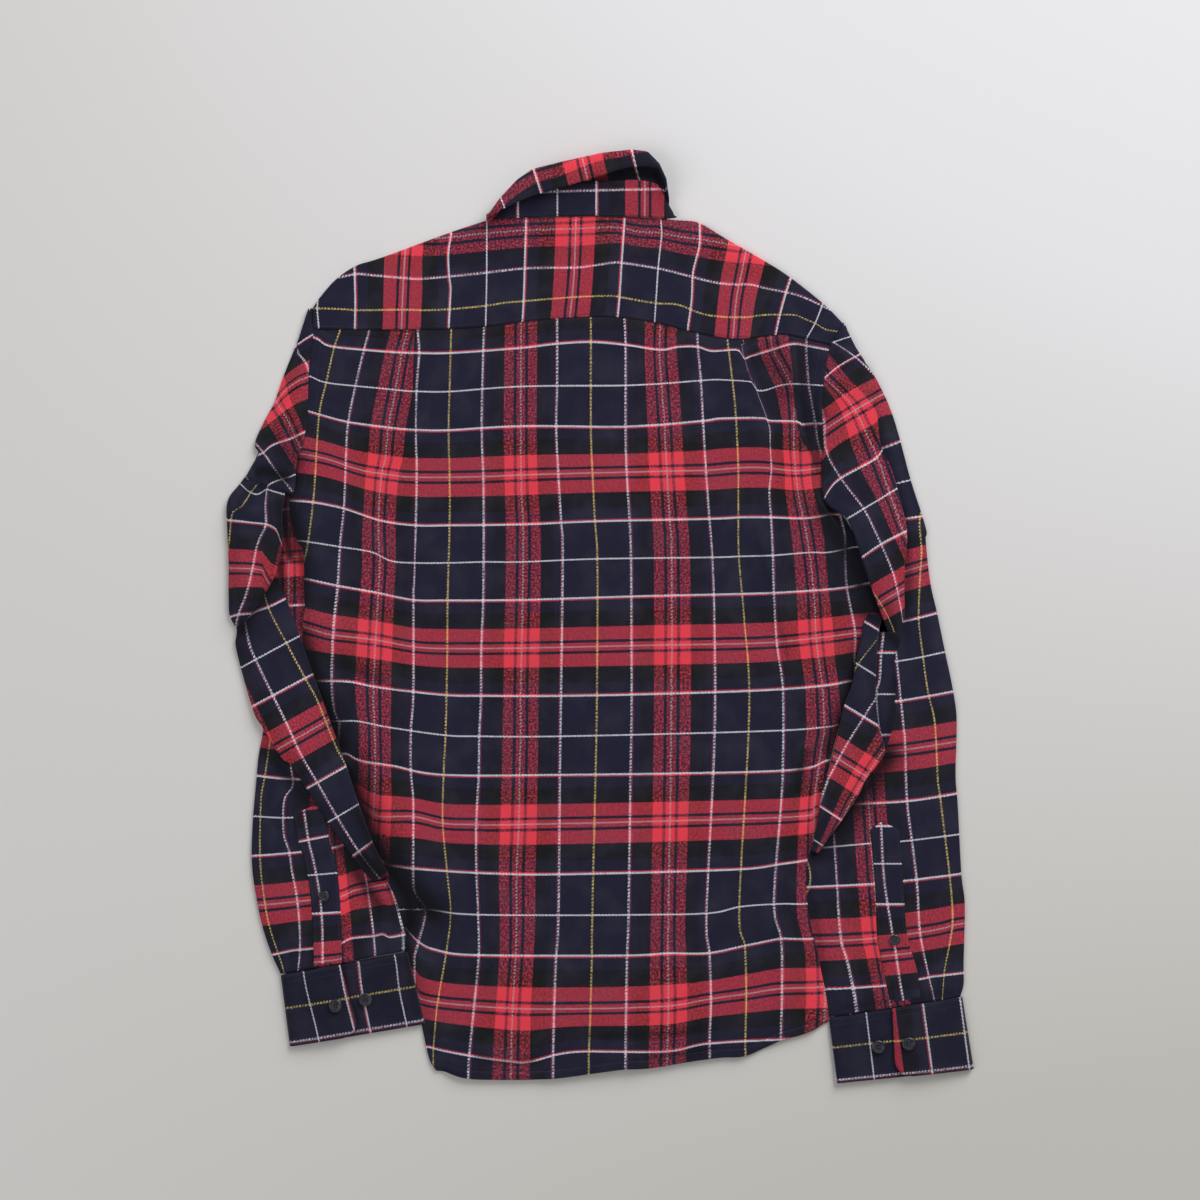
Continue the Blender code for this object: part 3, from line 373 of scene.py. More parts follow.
LEFT_FOLD_EDGES = (
    [(-268, 130), (-275, 105), (-277, 85), (-276, 68), (-280, 45), (-287, 27), (-301, 5), (-313, -9)],
    [(-290, 150), (-298, 135), (-313, 115), (-324, 99), (-324, 72), (-323, 46), (-323, 18), (-322, 0), (-316, -11)],
)
LEFT_UNDER_EDGES = (
    [(-270, 118), (-270, 92), (-264, 66), (-258, 52), (-257, 9), (-252, -20), (-246, -46)],
    [(-286, 118), (-286, 92), (-284, 60), (-284, 44), (-282, 27), (-278, 5), (-272, -22), (-264, -50)],
)
LEFT_STRIP_EDGES = (
    [(-283, 52), (-281, 35), (-276, 20), (-271, 9), (-266, -4), (-262, -17), (-254.5, -38), (-247.5, -58),
     (-236, -90), (-222.5, -127), (-210.5, -163), (-199, -195), (-191, -212), (-184, -226)],
    [(-306, 52), (-312, 20), (-316, -15), (-316, -31), (-302, -81), (-293, -97), (-276, -124), (-269, -129),
     (-249, -159), (-236, -180), (-216, -208), (-207, -220), (-198, -230)],
)
LEFT_LOWER_EDGES = (
    [(-284, -70), (-262, -110), (-245, -140), (-225, -165), (-206, -200), (-190, -223), (-179, -245), (-173.5, -264),
     (-170, -276), (-170, -291)],
    [(-302, -70), (-298, -84), (-293, -96), (-297, -122), (-299, -143), (-302, -178), (-303, -212), (-300, -239),
     (-294, -269), (-286, -293), (-278, -311)],
)
PLACKET_RIGHT = (
    [(234, -186), (238, -230), (240, -277), (242, -289), (248, -320), (252, -339)],
    [(259, -186), (263, -248), (266, -279), (274, -308), (278, -335)],
)
PLACKET_LEFT = (
    [(-242, -160), (-237, -190), (-229, -224), (-226, -258), (-225, -302)],
    [(-268.5, -164), (-263, -192), (-253, -231), (-249, -288), (-249, -306)],
)
PLACKET_LEFT_TIP, PLACKET_RIGHT_TIP = (-249, -155), (244, -179)
# Cuffs: corners, where the end that lies on top has its edge, as a share of the width, and its corner
CUFF_LEFT = ((-169, -292.3), (-277, -312.12), (-153.8, -354.6), (-269, -374), 0.53, 0.475, 15)
CUFF_RIGHT = ((199, -349.3), (313, -331.15), (205, -406), (323, -394), 0.473, 0.43, 15)
COLLAR = [  # (x, stand_top_y, turn_y, free_edge_y)
    (-96, 346, 348, 345), (-87, 356, 360.5, 350), (-72, 367, 376.5, 357.5), (-59, 372, 385.5, 362.5),
    (-35, 375, 391.5, 369.5), (1, 377, 399.5, 380), (14, 377, 401, 384.5), (26, 378, 402.5, 387.5),
    (40, 377, 401, 388), (50, 374, 391, 386), (56, 364, 378, 374),
]
# How far the hidden half of a sleeve's body lies inside its outline: the line that it is drawn in to
SLEEVE_MIDDLE = {
    "left": [(-262, 200), (-285, 120), (-295, 40), (-285, -40), (-265, -110), (-255, -180), (-238, -250),
        (-222, -300)],
    "right": [(215, 200), (228, 120), (258, 40), (262, -40), (256, -110), (250, -180), (250, -250), (256, -335)],
}

# --- Creases, and painted shade in hollows ---

# Ridges and troughs: points on the chart, height, and width (mm) to the right and left of a line down
CREASES = {
    "back_panel": [
        ([(419, 330), (416, 430), (416, 520), (413, 610)], 1.3, 16, 2.5),
        ([(740, 338), (743, 360), (755, 391), (766, 420), (769, 440), (768, 480)], 2.0, 2.5, 20),
        ([(791, 345), (792, 390), (796, 424), (801, 440), (818, 465)], 1.6, 2.5, 12),
        ([(757, 362), (775, 376), (790, 387)], -1.6, 5, 5),
        ([(318, 640), (345, 665), (375, 678), (408, 700)], -2.2, 6, 9),
        ([(312, 598), (345, 632), (378, 648)], 1.4, 10, 14), ([(322, 540), (352, 556), (385, 566)], -1.0, 7, 7),
        ([(350, 752), (372, 764), (400, 770)], -1.3, 5, 8),
        ([(352, 740), (376, 812), (398, 862), (428, 906), (447, 916)], -2.4, 7, 8),
        ([(398, 830), (420, 880), (452, 900)], 1.4, 10, 12), ([(411, 968), (425, 935), (436, 915)], 1.5, 7, 6),
        ([(425, 960), (445, 935), (460, 915)], -1.2, 6, 8), ([(594, 428), (615, 433), (638, 434)], -0.9, 3, 3),
        ([(548, 490), (552, 560)], -0.6, 6, 8), ([(742, 555), (762, 615), (782, 672)], -0.9, 6, 10),
        ([(700, 700), (760, 780), (790, 850)], 0.9, 14, 14), ([(808, 880), (788, 940), (782, 1015)], 1.4, 7, 9),
        ([(795, 870), (772, 930), (762, 1010)], -1.2, 7, 7), ([(700, 905), (745, 925), (790, 905)], 0.9, 9, 9),
        ([(470, 1070), (468, 1000), (474, 960)], -1.0, 8, 8), ([(530, 1065), (536, 1010)], 0.9, 8, 8),
        ([(640, 1060), (636, 990), (645, 940)], -0.9, 10, 12), ([(720, 1052), (716, 990)], 0.9, 9, 9),
        ([(833, 470), (850, 545), (856, 600)], -1.8, 6, 6), ([(800, 730), (815, 770), (806, 830)], -1.2, 7, 7),
    ],
    "sleeve_right_lower": [
        ([(892, 420), (908, 480), (918, 525)], -0.8, 4, 4), ([(925, 525), (930, 555), (940, 600)], 0.6, 5, 5),
        ([(930, 700), (940, 760), (936, 830)], -0.6, 8, 6), ([(905, 780), (912, 850), (925, 930)], 0.7, 6, 6),
        ([(842, 985), (846, 1000), (848, 1012)], -1.1, 3, 3), ([(868, 975), (872, 995), (876, 1012)], -1.2, 3, 3),
        ([(926, 950), (932, 975), (938, 1000)], -1.3, 3.5, 3.5), ([(950, 960), (946, 980), (944, 1000)], -1.1, 3, 3),
    ],
    "sleeve_right_flap": [
        ([(884, 640), (860, 690), (835, 740)], 0.8, 5, 5),
        ([(872, 720), (850, 770), (825, 810)], -0.7, 4, 4),
    ],
    "sleeve_right_upper": [
        ([(862, 352), (867, 372), (868, 396)], 0.9, 3, 6), ([(826, 412), (850, 404), (880, 392)], -0.7, 5, 6),
        ([(824, 500), (850, 505), (880, 500)], -0.9, 6, 6), ([(845, 545), (872, 548), (900, 540)], 0.7, 7, 6),
        ([(866, 590), (880, 606), (896, 640)], -1.0, 4, 5),
    ],
    "sleeve_left_lower": [
        ([(270, 790), (278, 830), (282, 880)], -0.7, 7, 6), ([(350, 860), (362, 900), (368, 945)], -0.9, 6, 5),
        ([(292, 940), (290, 958), (290, 972)], -1.2, 3, 3), ([(312, 935), (314, 952), (316, 966)], -1.2, 3, 3),
        ([(378, 915), (380, 935), (384, 952)], -1.1, 3, 3), ([(350, 930), (350, 945), (352, 958)], -1.0, 3, 3),
    ],
    "sleeve_left_strip": [
        ([(268, 600), (290, 650), (315, 700), (335, 745)], 0.8, 8, 8),
        ([(262, 650), (284, 690), (304, 730)], -0.8, 5, 5),
        ([(320, 745), (350, 800), (380, 850)], -0.6, 5, 5),
    ],
    "sleeve_left_fold": [
        ([(232, 500), (252, 512), (272, 528), (282, 548)], 0.9, 6, 5),
        ([(240, 540), (256, 560), (262, 590)], -1.0, 6, 6),
    ],
    "sleeve_left_upper": [
        ([(300, 345), (285, 372), (268, 402)], -0.8, 5, 6),
        ([(303, 400), (285, 415), (262, 440)], 0.8, 6, 6),
    ],
}
# Painted shade: the cloth's colour is darkened in deep hollows and gaps between layers, where shade falls:
# points on the chart, depth, and width (mm) to the right and left of a line down
PAINTED_SHADES = {
    "back_panel": [
        ([(301, 440), (292, 468), (288, 500), (296, 540), (302, 575), (302, 620)], 0.95, 9, 6),
        ([(298, 615), (301, 640), (311, 668), (322, 695), (336, 735), (346, 764)], 0.97, 13, 9),
        ([(342, 750), (355, 790), (361, 806), (374, 842), (388, 864), (402, 888), (432, 914),
            (450, 932)], 0.98, 16, 9),
        ([(376, 862), (396, 874), (410, 894), (412, 918), (404, 940)], 0.97, 11, 9),
        ([(384, 846), (402, 880), (424, 904)], 0.7, 10, 6),
        ([(402, 926), (408, 960), (413, 1000), (418, 1030)], 0.85, 5, 6),
        ([(316, 652), (340, 664), (365, 674), (388, 684)], 0.5, 5, 5),
        ([(770, 335), (781, 372), (796, 402)], 0.45, 9, 9),
        ([(798, 335), (801, 390), (808, 440), (820, 480)], 0.62, 14, 3),
        ([(752, 345), (768, 372), (790, 400)], 0.4, 9, 9), ([(811, 388), (815, 425), (821, 462)], 0.75, 8, 7),
        ([(806, 398), (814, 410), (820, 422)], 0.6, 5, 5),
        ([(818, 494), (834, 525), (850, 560), (862, 590), (872, 625)], 0.95, 8, 12),
        ([(846, 570), (862, 592), (872, 612)], 0.8, 9, 12),
        ([(864, 630), (848, 695), (832, 738), (824, 762)], 0.75, 6, 8),
        ([(808, 745), (800, 770), (796, 796)], 0.7, 6, 6),
        ([(750, 515), (764, 568), (779, 625), (790, 668)], 0.35, 3, 3),
        ([(300, 345), (302, 400), (300, 440)], 0.3, 4, 4), ([(470, 1056), (505, 1062), (540, 1060)], 0.5, 4, 4),
        ([(575, 1033), (620, 1034), (680, 1032), (712, 1024)], 0.5, 4, 4),
        ([(640, 1056), (680, 1053), (715, 1046)], 0.5, 4, 4),
    ],
    "collar_leaf_cloth": [
        ([(584, 188), (600, 183.5), (617, 180.5), (640, 177), (655, 178), (666, 188)], 0.8, 5, 5),
    ],
    "sleeve_left_under": [
        ([(285, 494), (287, 535), (291, 566)], 0.97, 8, 6),
        ([(303, 505), (304, 560), (305, 610), (300, 640)], 0.7, 5, 5),
        ([(291, 518), (299, 545), (304, 568)], 0.9, 6, 6),
        ([(279, 480), (279, 540), (282, 590), (290, 640)], 0.85, 6, 8),
        ([(290, 465), (291, 500), (292, 528)], 0.97, 14, 14),
    ],
    "sleeve_left_fold": [
        ([(256, 484), (270, 478), (292, 480)], 0.95, 6, 8), ([(264, 481), (274, 480), (284, 483)], 0.9, 6, 6),
        ([(236, 502), (246, 493), (256, 487)], 0.4, 4, 4),
        ([(282, 492), (285, 530), (287, 560), (276, 600)], 0.7, 4, 7),
        ([(270, 500), (274, 520), (268, 545)], 0.3, 5, 5), ([(280, 580), (258, 602), (238, 628)], 0.4, 5, 4),
    ],
    "sleeve_left_upper": [
        ([(298, 425), (296, 445), (293, 470)], 0.5, 4, 5),
        ([(254, 474), (266, 471), (280, 475), (292, 482)], 0.95, 6, 6),
        ([(276, 432), (284, 443), (291, 458)], 0.45, 5, 5),
    ],
    "sleeve_left_strip": [
        ([(282, 574), (262, 596), (248, 616), (240, 640)], 0.93, 9, 9),
        ([(296, 630), (318, 690), (341, 756)], 0.35, 4, 5), ([(352, 800), (376, 850), (402, 905)], 0.75, 6, 7),
        ([(340, 840), (362, 872), (396, 925)], 0.6, 5, 5),
        ([(356, 850), (374, 866), (388, 878), (400, 896)], 0.9, 8, 8),
    ],
    "sleeve_left_lower": [
        ([(258, 735), (286, 772), (312, 805), (336, 838), (362, 878), (392, 925)], 0.8, 7, 7),
        ([(366, 858), (386, 872), (398, 892), (404, 916)], 0.8, 6, 7),
        ([(282, 955), (330, 950), (400, 930)], 0.3, 4, 3),
    ],
    "sleeve_right_upper": [
        ([(818, 396), (821, 407), (824, 420)], 0.75, 4, 5), ([(822, 395), (821, 440), (824, 480)], 0.35, 6, 4),
        ([(822, 500), (836, 528), (852, 562), (868, 604)], 0.7, 5, 6),
        ([(884, 596), (896, 630), (903, 652)], 0.3, 5, 5),
    ],
    "sleeve_right_flap": [
        ([(862, 612), (874, 618), (884, 628)], 0.8, 6, 5), ([(876, 640), (878, 700), (886, 752)], 0.4, 4, 5),
        ([(858, 650), (840, 700), (828, 745)], 0.3, 4, 4),
    ],
    "sleeve_right_inner": [
        ([(868, 612), (884, 628), (902, 650)], 0.85, 5, 5), ([(872, 640), (870, 690), (878, 745)], 0.4, 5, 5),
        ([(899, 645), (894, 700), (886, 745)], 0.6, 5, 5),
    ],
    "sleeve_right_lower": [
        ([(890, 735), (888, 754), (870, 782), (848, 812), (818, 846), (808, 868)], 0.97, 13, 9),
        ([(866, 400), (884, 450), (903, 520), (908, 580), (905, 650)], 0.55, 5, 5),
        ([(808, 880), (820, 940), (826, 990)], 0.35, 3, 5), ([(832, 1008), (880, 1002), (960, 990)], 0.35, 4, 3),
    ],
    "sleeve_right_body": [
        ([(870, 590), (884, 640), (884, 740)], 0.9, 12, 12),
    ],
    "sleeve_left_body": [
        ([(285, 480), (290, 560), (300, 640)], 0.9, 14, 14),
    ],
    "cuff_left_band": [
        ([(270, 1006), (350, 990), (425, 976)], 0.28, 45, 45), ([(405, 950), (411, 985), (418, 1020)], 0.6, 4, 4),
    ],
    "cuff_right_band": [
        ([(815, 1046), (900, 1038), (985, 1026)], 0.18, 45, 45),
    ],
}

# --- Settings ---


def light_of(red, green, blue):
    """A colour's red, green and blue, 0 to 255, as light."""
    return tuple(((c / 255 + 0.055) / 1.055) ** 2.4 if c > 10 else c / 255 / 12.92 for c in (red, green, blue))


def length(name, text, default):
    return bpy.props.FloatProperty(name=name, description=text, default=default, min=0.0, precision=5, unit="LENGTH")


def colour(name, text, default):
    return bpy.props.FloatVectorProperty(name=name, description=text, default=default, size=3, min=0.0, max=1.0,
                                         subtype="COLOR")


class ShirtSettings(bpy.types.PropertyGroup):
    """Sizes and yarns that a user would change."""

    cloth: length("Cloth", "Thickness of one layer of flannel", 0.001)
    cuff: length("Cuff", "Thickness of a cuff's two layers and interlining", 0.0024)
    collar: length("Collar", "Thickness of the collar's layers", 0.0016)
    waves: length("Waves", "Height of the soft waves over the back", 0.0003)
    stitch: length("Stitch", "Length of one machine stitch", 0.0017)
    stitch_gap: length("Stitch gap", "Cloth that shows between two stitches", 0.0008)
    white: colour("White yarn", "The lines on navy", light_of(242, 238, 250))
    red: colour("Red yarn", "The wide bands", light_of(255, 72, 88))
    navy: colour("Navy yarn", "The ground", light_of(36, 35, 57))
    black: colour("Black yarn", "The bands beside the red", light_of(28, 27, 31))
    yellow: colour("Yellow yarn", "The single line on navy", light_of(238, 212, 128))
    wine: colour("Wine yarn", "The threads beside a white line", light_of(185, 45, 80))
    pale: colour("Pale yarn", "The line in the middle of a red band", light_of(222, 160, 172))
    thread: colour("Thread", "The sewing thread", light_of(52, 52, 78))
    button: colour("Button", "The buttons' plastic", light_of(44, 44, 52))


def settings():
    return bpy.context.scene.flannel_shirt


def size(name):
    """One of the settings' lengths, in millimetres."""
    return getattr(settings(), name) / MM


# --- Small maths ---


def soft(t):
    """0 to 1 with no corner at either end."""
    t = np.clip(t, 0.0, 1.0)
    return t * t * (3 - 2 * t)


SPLINE_STEPS = 12  # between two of a curve's points
CURVE_POINTS = 800  # along an edge of a panel
LINE_POINTS = 160  # along a line of the tartan


def spline(points, count):
    """count points along a smooth curve through the points, evenly spaced."""
    p = np.array(points, float)
    p = np.vstack([2 * p[0] - p[1], p, 2 * p[-1] - p[-2]])
    fine = []
    for a, b, c, d in zip(p, p[1:], p[2:], p[3:]):
        for t in np.linspace(0, 1, SPLINE_STEPS, endpoint=False):
            fine.append(0.5 * (2 * b + (c - a) * t + (2 * a - 5 * b + 4 * c - d) * t**2
                               + (3 * b - a - 3 * c + d) * t**3))
    fine = np.array(fine + [p[-2]])
    along = np.concatenate([[0], np.cumsum(np.linalg.norm(np.diff(fine, axis=0), axis=1))])
    at = np.linspace(0, along[-1], count)
    return np.stack([np.interp(at, along, fine[:, k]) for k in range(fine.shape[1])], axis=1)


def on_chart(place):
    """Places in millimetres as x and y on the chart."""
    return place[..., 0] / CHART + CHART_ORIGIN[0], CHART_ORIGIN[1] - place[..., 1] / CHART


def off_chart(points):
    """Chart points in millimetres."""
    return [((x - CHART_ORIGIN[0]) * CHART, (CHART_ORIGIN[1] - y) * CHART) for x, y in points]


# One line each way, for cloth that hides: the tartan runs straight from it
STRAIGHT_DOWN = [(0, [(CHART_SIZE / 2, 0), (CHART_SIZE / 2, CHART_SIZE)])]
STRAIGHT_ACROSS = [(0, [(0, CHART_SIZE / 2), (CHART_SIZE, CHART_SIZE / 2)])]
FOLD_REACH = 2  # how far past its two lines a fold still parts the tartan


class Weave:
    """Gives each place of a panel its place in the tartan's repeat, from the lines that cross it.

    down are lines that run down the chart and across those that run over it. turned is cloth that was
    cut across its length. folds are (left line, right line, points, y where the fold starts to fade,
    y where it is gone): on each side of a fold the lines of that side go on.
    """

    def __init__(self, down=STRAIGHT_DOWN, across=STRAIGHT_ACROSS, turned=False, folds=()):
        self.down = [(place, self.curve(points, 1)) for place, points in down]
        self.across = [(place, self.curve(points, 0)) for place, points in across]
        self.turned, self.folds = turned, folds

    @staticmethod
    def curve(points, key):
        """Points along a smooth line, in the order of one coordinate."""
        p = spline(points, LINE_POINTS)
        return p[np.argsort(p[:, key])]

    @staticmethod
    def positions(lines, at, axis):
        """Where each line is, for each value of the other coordinate."""
        found = []
        for _, p in lines:
            t, s = p[:, 1 - axis], p[:, axis]
            inside = np.clip(at, t[0], t[-1])
            slope = (s[-1] - s[0]) / max(t[-1] - t[0], 1e-6)
            found.append(np.interp(inside, t, s) + slope * (at - inside))
        return found

    @classmethod
    def between(cls, lines, where, at, axis):
        """The place in the repeat of each value, between the lines on its two sides, and where the lines are."""
        places = cls.positions(lines, at, axis)
        ids = [line[0] for line in lines]
        value = ids[0] + (where - places[0])
        for k in range(len(lines) - 1):
            width = np.maximum(places[k + 1] - places[k], 1.0)
            share = (where - places[k]) / width
            value = np.where(where >= places[k], ids[k] + share * (ids[k + 1] - ids[k]), value)
        return np.where(where >= places[-1], ids[-1] + (where - places[-1]), value), places

    def at(self, place, side=None):
        """The place in the repeat of each place in millimetres. side is -1 left of every fold, and 1 right of it."""
        x, y = on_chart(place)
        over, places = self.between(self.down, x, y, 0)
        ids = [line[0] for line in self.down]
        for left, right, points, fade, end in self.folds:
            p = np.array(points, float)
            fold_x = np.interp(y, p[:, 1], p[:, 0])
            a, b = ids.index(left), ids.index(right)
            is_left = (x < fold_x) if side is None else (side < 0)
            near = (x > places[a] - FOLD_REACH) & (x < places[b] + FOLD_REACH) if side is None else True
            apart = np.where(is_left, left + (x - places[a]), right - (places[b] - x))
            amount = soft((end - y) / max(end - fade, 1e-6))
            over = np.where(near, over + (apart - over) * amount, over)
        down, _ = self.between(self.across, y, x, 1)
        return np.stack([down, over] if self.turned else [over, down], axis=-1)


# --- Building cloth ---


def coons(top, bottom, guides, pitch, rows=None):
    """A grid of places between two curves, whose columns follow the guides."""
    guides = [np.array(g, float) for g in guides]
    longest = max(np.linalg.norm(np.diff(g, axis=0), axis=1).sum() for g in guides)
    v = np.linspace(0, 1, max(4, int(longest / pitch) + 1)) if rows is None else rows
    fine = np.linspace(0, 1, CURVE_POINTS)
    lines = []
    for g in guides:
        curve = spline(g, CURVE_POINTS)
        lines.append(np.stack([np.interp(v, fine, curve[:, n]) for n in (0, 1)], axis=1))
    v = v[:, None]
    high, low = spline(top, CURVE_POINTS), spline(bottom, CURVE_POINTS)
    columns = []
    for i, (left, right) in enumerate(zip(lines, lines[1:])):
        width = np.linalg.norm(left - right, axis=1).max()
        count = max(1, int(round(width / pitch)))
        for k in range(count + (i == len(lines) - 2)):
            s = k / count
            column = (1 - s) * left + s * right
            for curve, share in ((high, 1 - v), (low, v)):
                end = 0 if curve is high else -1
                a = np.argmin(np.linalg.norm(curve - left[end], axis=1))
                b = np.argmin(np.linalg.norm(curve - right[end], axis=1))
                at = a + s * (b - a)
                point = np.array([np.interp(at, np.arange(CURVE_POINTS), curve[:, n]) for n in (0, 1)])
                column = column + share * (point - ((1 - s) * curve[a] + s * curve[b]))
            columns.append(column)
    return np.stack(columns, axis=1)


def tree_of(pieces):
    """One tree of several meshes, to find heights on, and the piece that each of its faces is of."""
    verts, faces, owner = [], [], []
    for piece in pieces:
        start = len(verts)
        verts += [v.co.copy() for v in piece.data.vertices]
        faces += [[start + i for i in p.vertices] for p in piece.data.polygons]
        owner += [piece.name] * len(piece.data.polygons)
    return BVHTree.FromPolygons(verts, faces), owner


def surface_of(*names):
    """A tree of the shown side of CAD nodes."""
    return tree_of([needed(name) for name in names])[0]


def needed(name):
    """A node of the frame, which a piece can't be made without."""
    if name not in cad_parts:
        raise RuntimeError(f"The frame has no {name}")
    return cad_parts[name]


RAY_START = 0.2  # metres up, above all of the shirt


def top_at(tree, x, y):
    """What a ray from above meets first at a place in millimetres."""
    return tree.ray_cast(Vector((x * MM, y * MM, RAY_START)), Vector((0, 0, -1)))


def heights_on(tree, plan, missing=6.0):
    """Height of the top of a tree's surface at each place, in millimetres."""
    z = np.full(plan.shape[:-1], np.nan)
    for index in np.ndindex(z.shape):
        hit = top_at(tree, *plan[index])
        if hit[0] is not None:
            z[index] = hit[0].z / MM
    known = ~np.isnan(z)
    for row in range(z.shape[0]):
        if known[row].sum() > 1:
            z[row] = np.interp(np.arange(z.shape[1]), np.flatnonzero(known[row]), z[row][known[row]])
    return np.where(np.isnan(z), missing, z)


def smoothed(z, times):
    """A height grid with its corners worn off."""
    for _ in range(times):
        wide = np.pad(z, 1, mode="edge")
        z = (wide[:-2, 1:-1] + wide[2:, 1:-1] + wide[1:-1, :-2] + wide[1:-1, 2:] + 2 * z) / 6
    return z


def crease(plan, line, height, left, right, blend=0.18, tip=0.02):
    """Height of a ridge, or of a trough where it is negative, along a line. left and right are its widths,
    blend the share of its length in which it rises at either end, and tip how much is left at the very end.
    """
    p = np.array(line, float)
    lengths = np.linalg.norm(np.diff(p, axis=0), axis=1)
    total, before = lengths.sum(), 0.0
    best = np.full(plan.shape[:-1], 1e9)
    signed, along = np.zeros_like(best), np.zeros_like(best)
    for a, b, size in zip(p, p[1:], lengths):
        d = (b - a) / size
        t = np.clip((plan - a) @ d, 0, size)
        away = plan - (a + t[..., None] * d)
        distance = np.linalg.norm(away, axis=-1)
        cross = d[0] * (plan[..., 1] - a[1]) - d[1] * (plan[..., 0] - a[0])
        nearer = distance < best
        best = np.where(nearer, distance, best)
        signed = np.where(nearer, np.sign(cross) * distance, signed)
        along = np.where(nearer, (before + t) / total, along)
        before += size
    width = np.where(signed > 0, left, right)
    return dip(best, height, width) * soft(along / blend + tip) * soft((1 - along) / blend + tip)


def dip(away, deep, wide):
    """How deep a soft dip is, for each place's distance from its middle."""
    return deep * np.exp(-((away / wide) ** 2))


def creased(name, z, plan):
    """Heights with a piece's own ridges and troughs."""
    for line, height, left, right in CREASES.get(name, ()):
        z = z + crease(plan, off_chart(line), height, left, right)
    return z


PAINTED_SHADE_BLEND = 0.12  # the share of its length in which a line of painted shade fades in at either end


def painted_shade_at(name, plan):
    """The painted shade of each place of a piece, 0 to 1: how much its colour is darkened for lying deep among the
    layers.
    """
    deep = np.zeros(plan.shape[:-1])
    for line, depth, left, right in PAINTED_SHADES.get(name, ()):
        deep = np.maximum(deep, crease(plan, off_chart(line), depth, left, right, PAINTED_SHADE_BLEND))
    return deep


def undulation(plan, seed, height=0.35, length=46.0, waves=7):
    """Low soft waves that no two panels share."""
    rng = np.random.default_rng(seed)
    z = np.zeros(plan.shape[:-1])
    for _ in range(waves):
        angle, phase = rng.uniform(0, math.pi), rng.uniform(0, 2 * math.pi)
        wave = length * rng.uniform(0.6, 1.7)
        z += np.sin((plan[..., 0] * math.cos(angle) + plan[..., 1] * math.sin(angle)) / wave * 2 * math.pi + phase)
    return z * height / 3


def turned(grid, side, back=False):
    """The grid with the named edge as its first column, or such a grid turned back."""
    if side in ("left", "right"):
        return grid if side == "left" else grid[:, ::-1]
    if side == "bottom":
        return grid.transpose(1, 0, 2)[::-1] if back else grid[::-1].transpose(1, 0, 2)
    return grid.transpose(1, 0, 2)


LEAST_ROLL = 0.2  # the smallest radius (mm) that an edge is rolled under with
TO_FLOOR = math.inf  # the radius of an edge that is rolled down to the floor, whatever its height


def roll_edge(grid, spots, side, radius, tail, steps=6, tail_steps=2, reach=12.0, level=False):
    """Rolls one edge of a grid under. spots are the places that the tartan is read at.

    radius is a number or an array by row, and never more than there is room for. tail is how far it goes on
    underneath, reach how far in from the edge the cloth is drawn out for it, and a level tail goes
    straight in from the side.
    """
    g, s = turned(grid, side), turned(spots, side)
    edge, z = g[:, 0, :2], g[:, 0, 2]
    inward = g[:, min(3, g.shape[1] - 1), :2] - edge
    out = -inward / np.maximum(np.linalg.norm(inward, axis=1, keepdims=True), 1e-6)
    room = np.maximum((z - FLOOR) / 2, LEAST_ROLL)
    r = np.minimum(np.broadcast_to(radius, z.shape), room)
    r, tail = r[:, None], np.broadcast_to(tail, z.shape)[:, None]
    g, s = g.copy(), s.copy()
    distance = np.linalg.norm(g[:, :, :2] - edge[:, None], axis=2)
    shift = r * np.clip(1 - distance / reach, 0, 1)
    g[:, :, :2] -= out[:, None] * shift[..., None]
    s[:, :, :2] = g[:, :, :2]
    start = edge - out * r
    added, read = [], []
    for k in range(1, steps + 1):
        a = math.pi * k / steps
        added.append(np.column_stack([start + out * r * math.sin(a), z - r[:, 0] * (1 - math.cos(a))]))
        read.append(start + out * r * a)
    way = np.sign(out) * (1.0, 0.0) if level else out
    for k in range(1, tail_steps + 1):
        t = tail * k / tail_steps
        added.append(np.column_stack([start - way * t, z - 2 * r[:, 0]]))
        read.append(start + out * (r * math.pi + t))
    g = np.concatenate([np.stack(added[::-1], axis=1), g], axis=1)
    s = np.concatenate([np.stack(read[::-1], axis=1), s], axis=1)
    return turned(g, side, back=True), turned(s, side, back=True)


def placed(name, data):
    """A new object in the scene."""
    made = bpy.data.objects.new(name, data)
    bpy.context.scene.collection.objects.link(made)
    return made


def cloth_object(name, grid, coords, thick=None):
    """A grid of points made a thin shell, with the tartan's places as its UV map."""
    rows, columns = grid.shape[:2]
    index = np.arange(rows * columns).reshape(rows, columns)
    corners = index[:-1, :-1], index[1:, :-1], index[1:, 1:], index[:-1, 1:]
    faces = np.stack(corners, axis=-1).reshape(-1, 4)
    mesh = bpy.data.meshes.new(name)
    mesh.from_pydata((grid.reshape(-1, 3) * MM).tolist(), [], faces.tolist())
    uv = mesh.uv_layers.new(name="weave")
    loops = np.zeros(len(mesh.loops), int)
    mesh.loops.foreach_get("vertex_index", loops)
    uv.data.foreach_set("uv", coords.reshape(-1, 2)[loops].astype(np.float32).ravel())
    store_painted_shade(mesh, name, grid[..., :2])
    mesh.shade_smooth()
    made = placed(name, mesh)
    wall = made.modifiers.new("wall", "SOLIDIFY")
    wall.thickness = (thick or size("cloth")) * MM
    wall.offset = 0.0
    apply_modifiers(made)
    return made


def store_painted_shade(mesh, name, plan):
    """Stores the painted shade of each point of a piece, how deep among the layers it lies, for its material to darken
    its colour by.
    """
    hollow = mesh.attributes.new("hollow", "FLOAT", "POINT")
    hollow.data.foreach_set("value", painted_shade_at(name, plan).astype(np.float32).ravel())


def apply_modifiers(made):
    bpy.ops.object.select_all(action="DESELECT")
    made.select_set(True)
    bpy.context.view_layer.objects.active = made
    for modifier in list(made.modifiers):
        bpy.ops.object.modifier_apply(modifier=modifier.name)
    made.select_set(False)


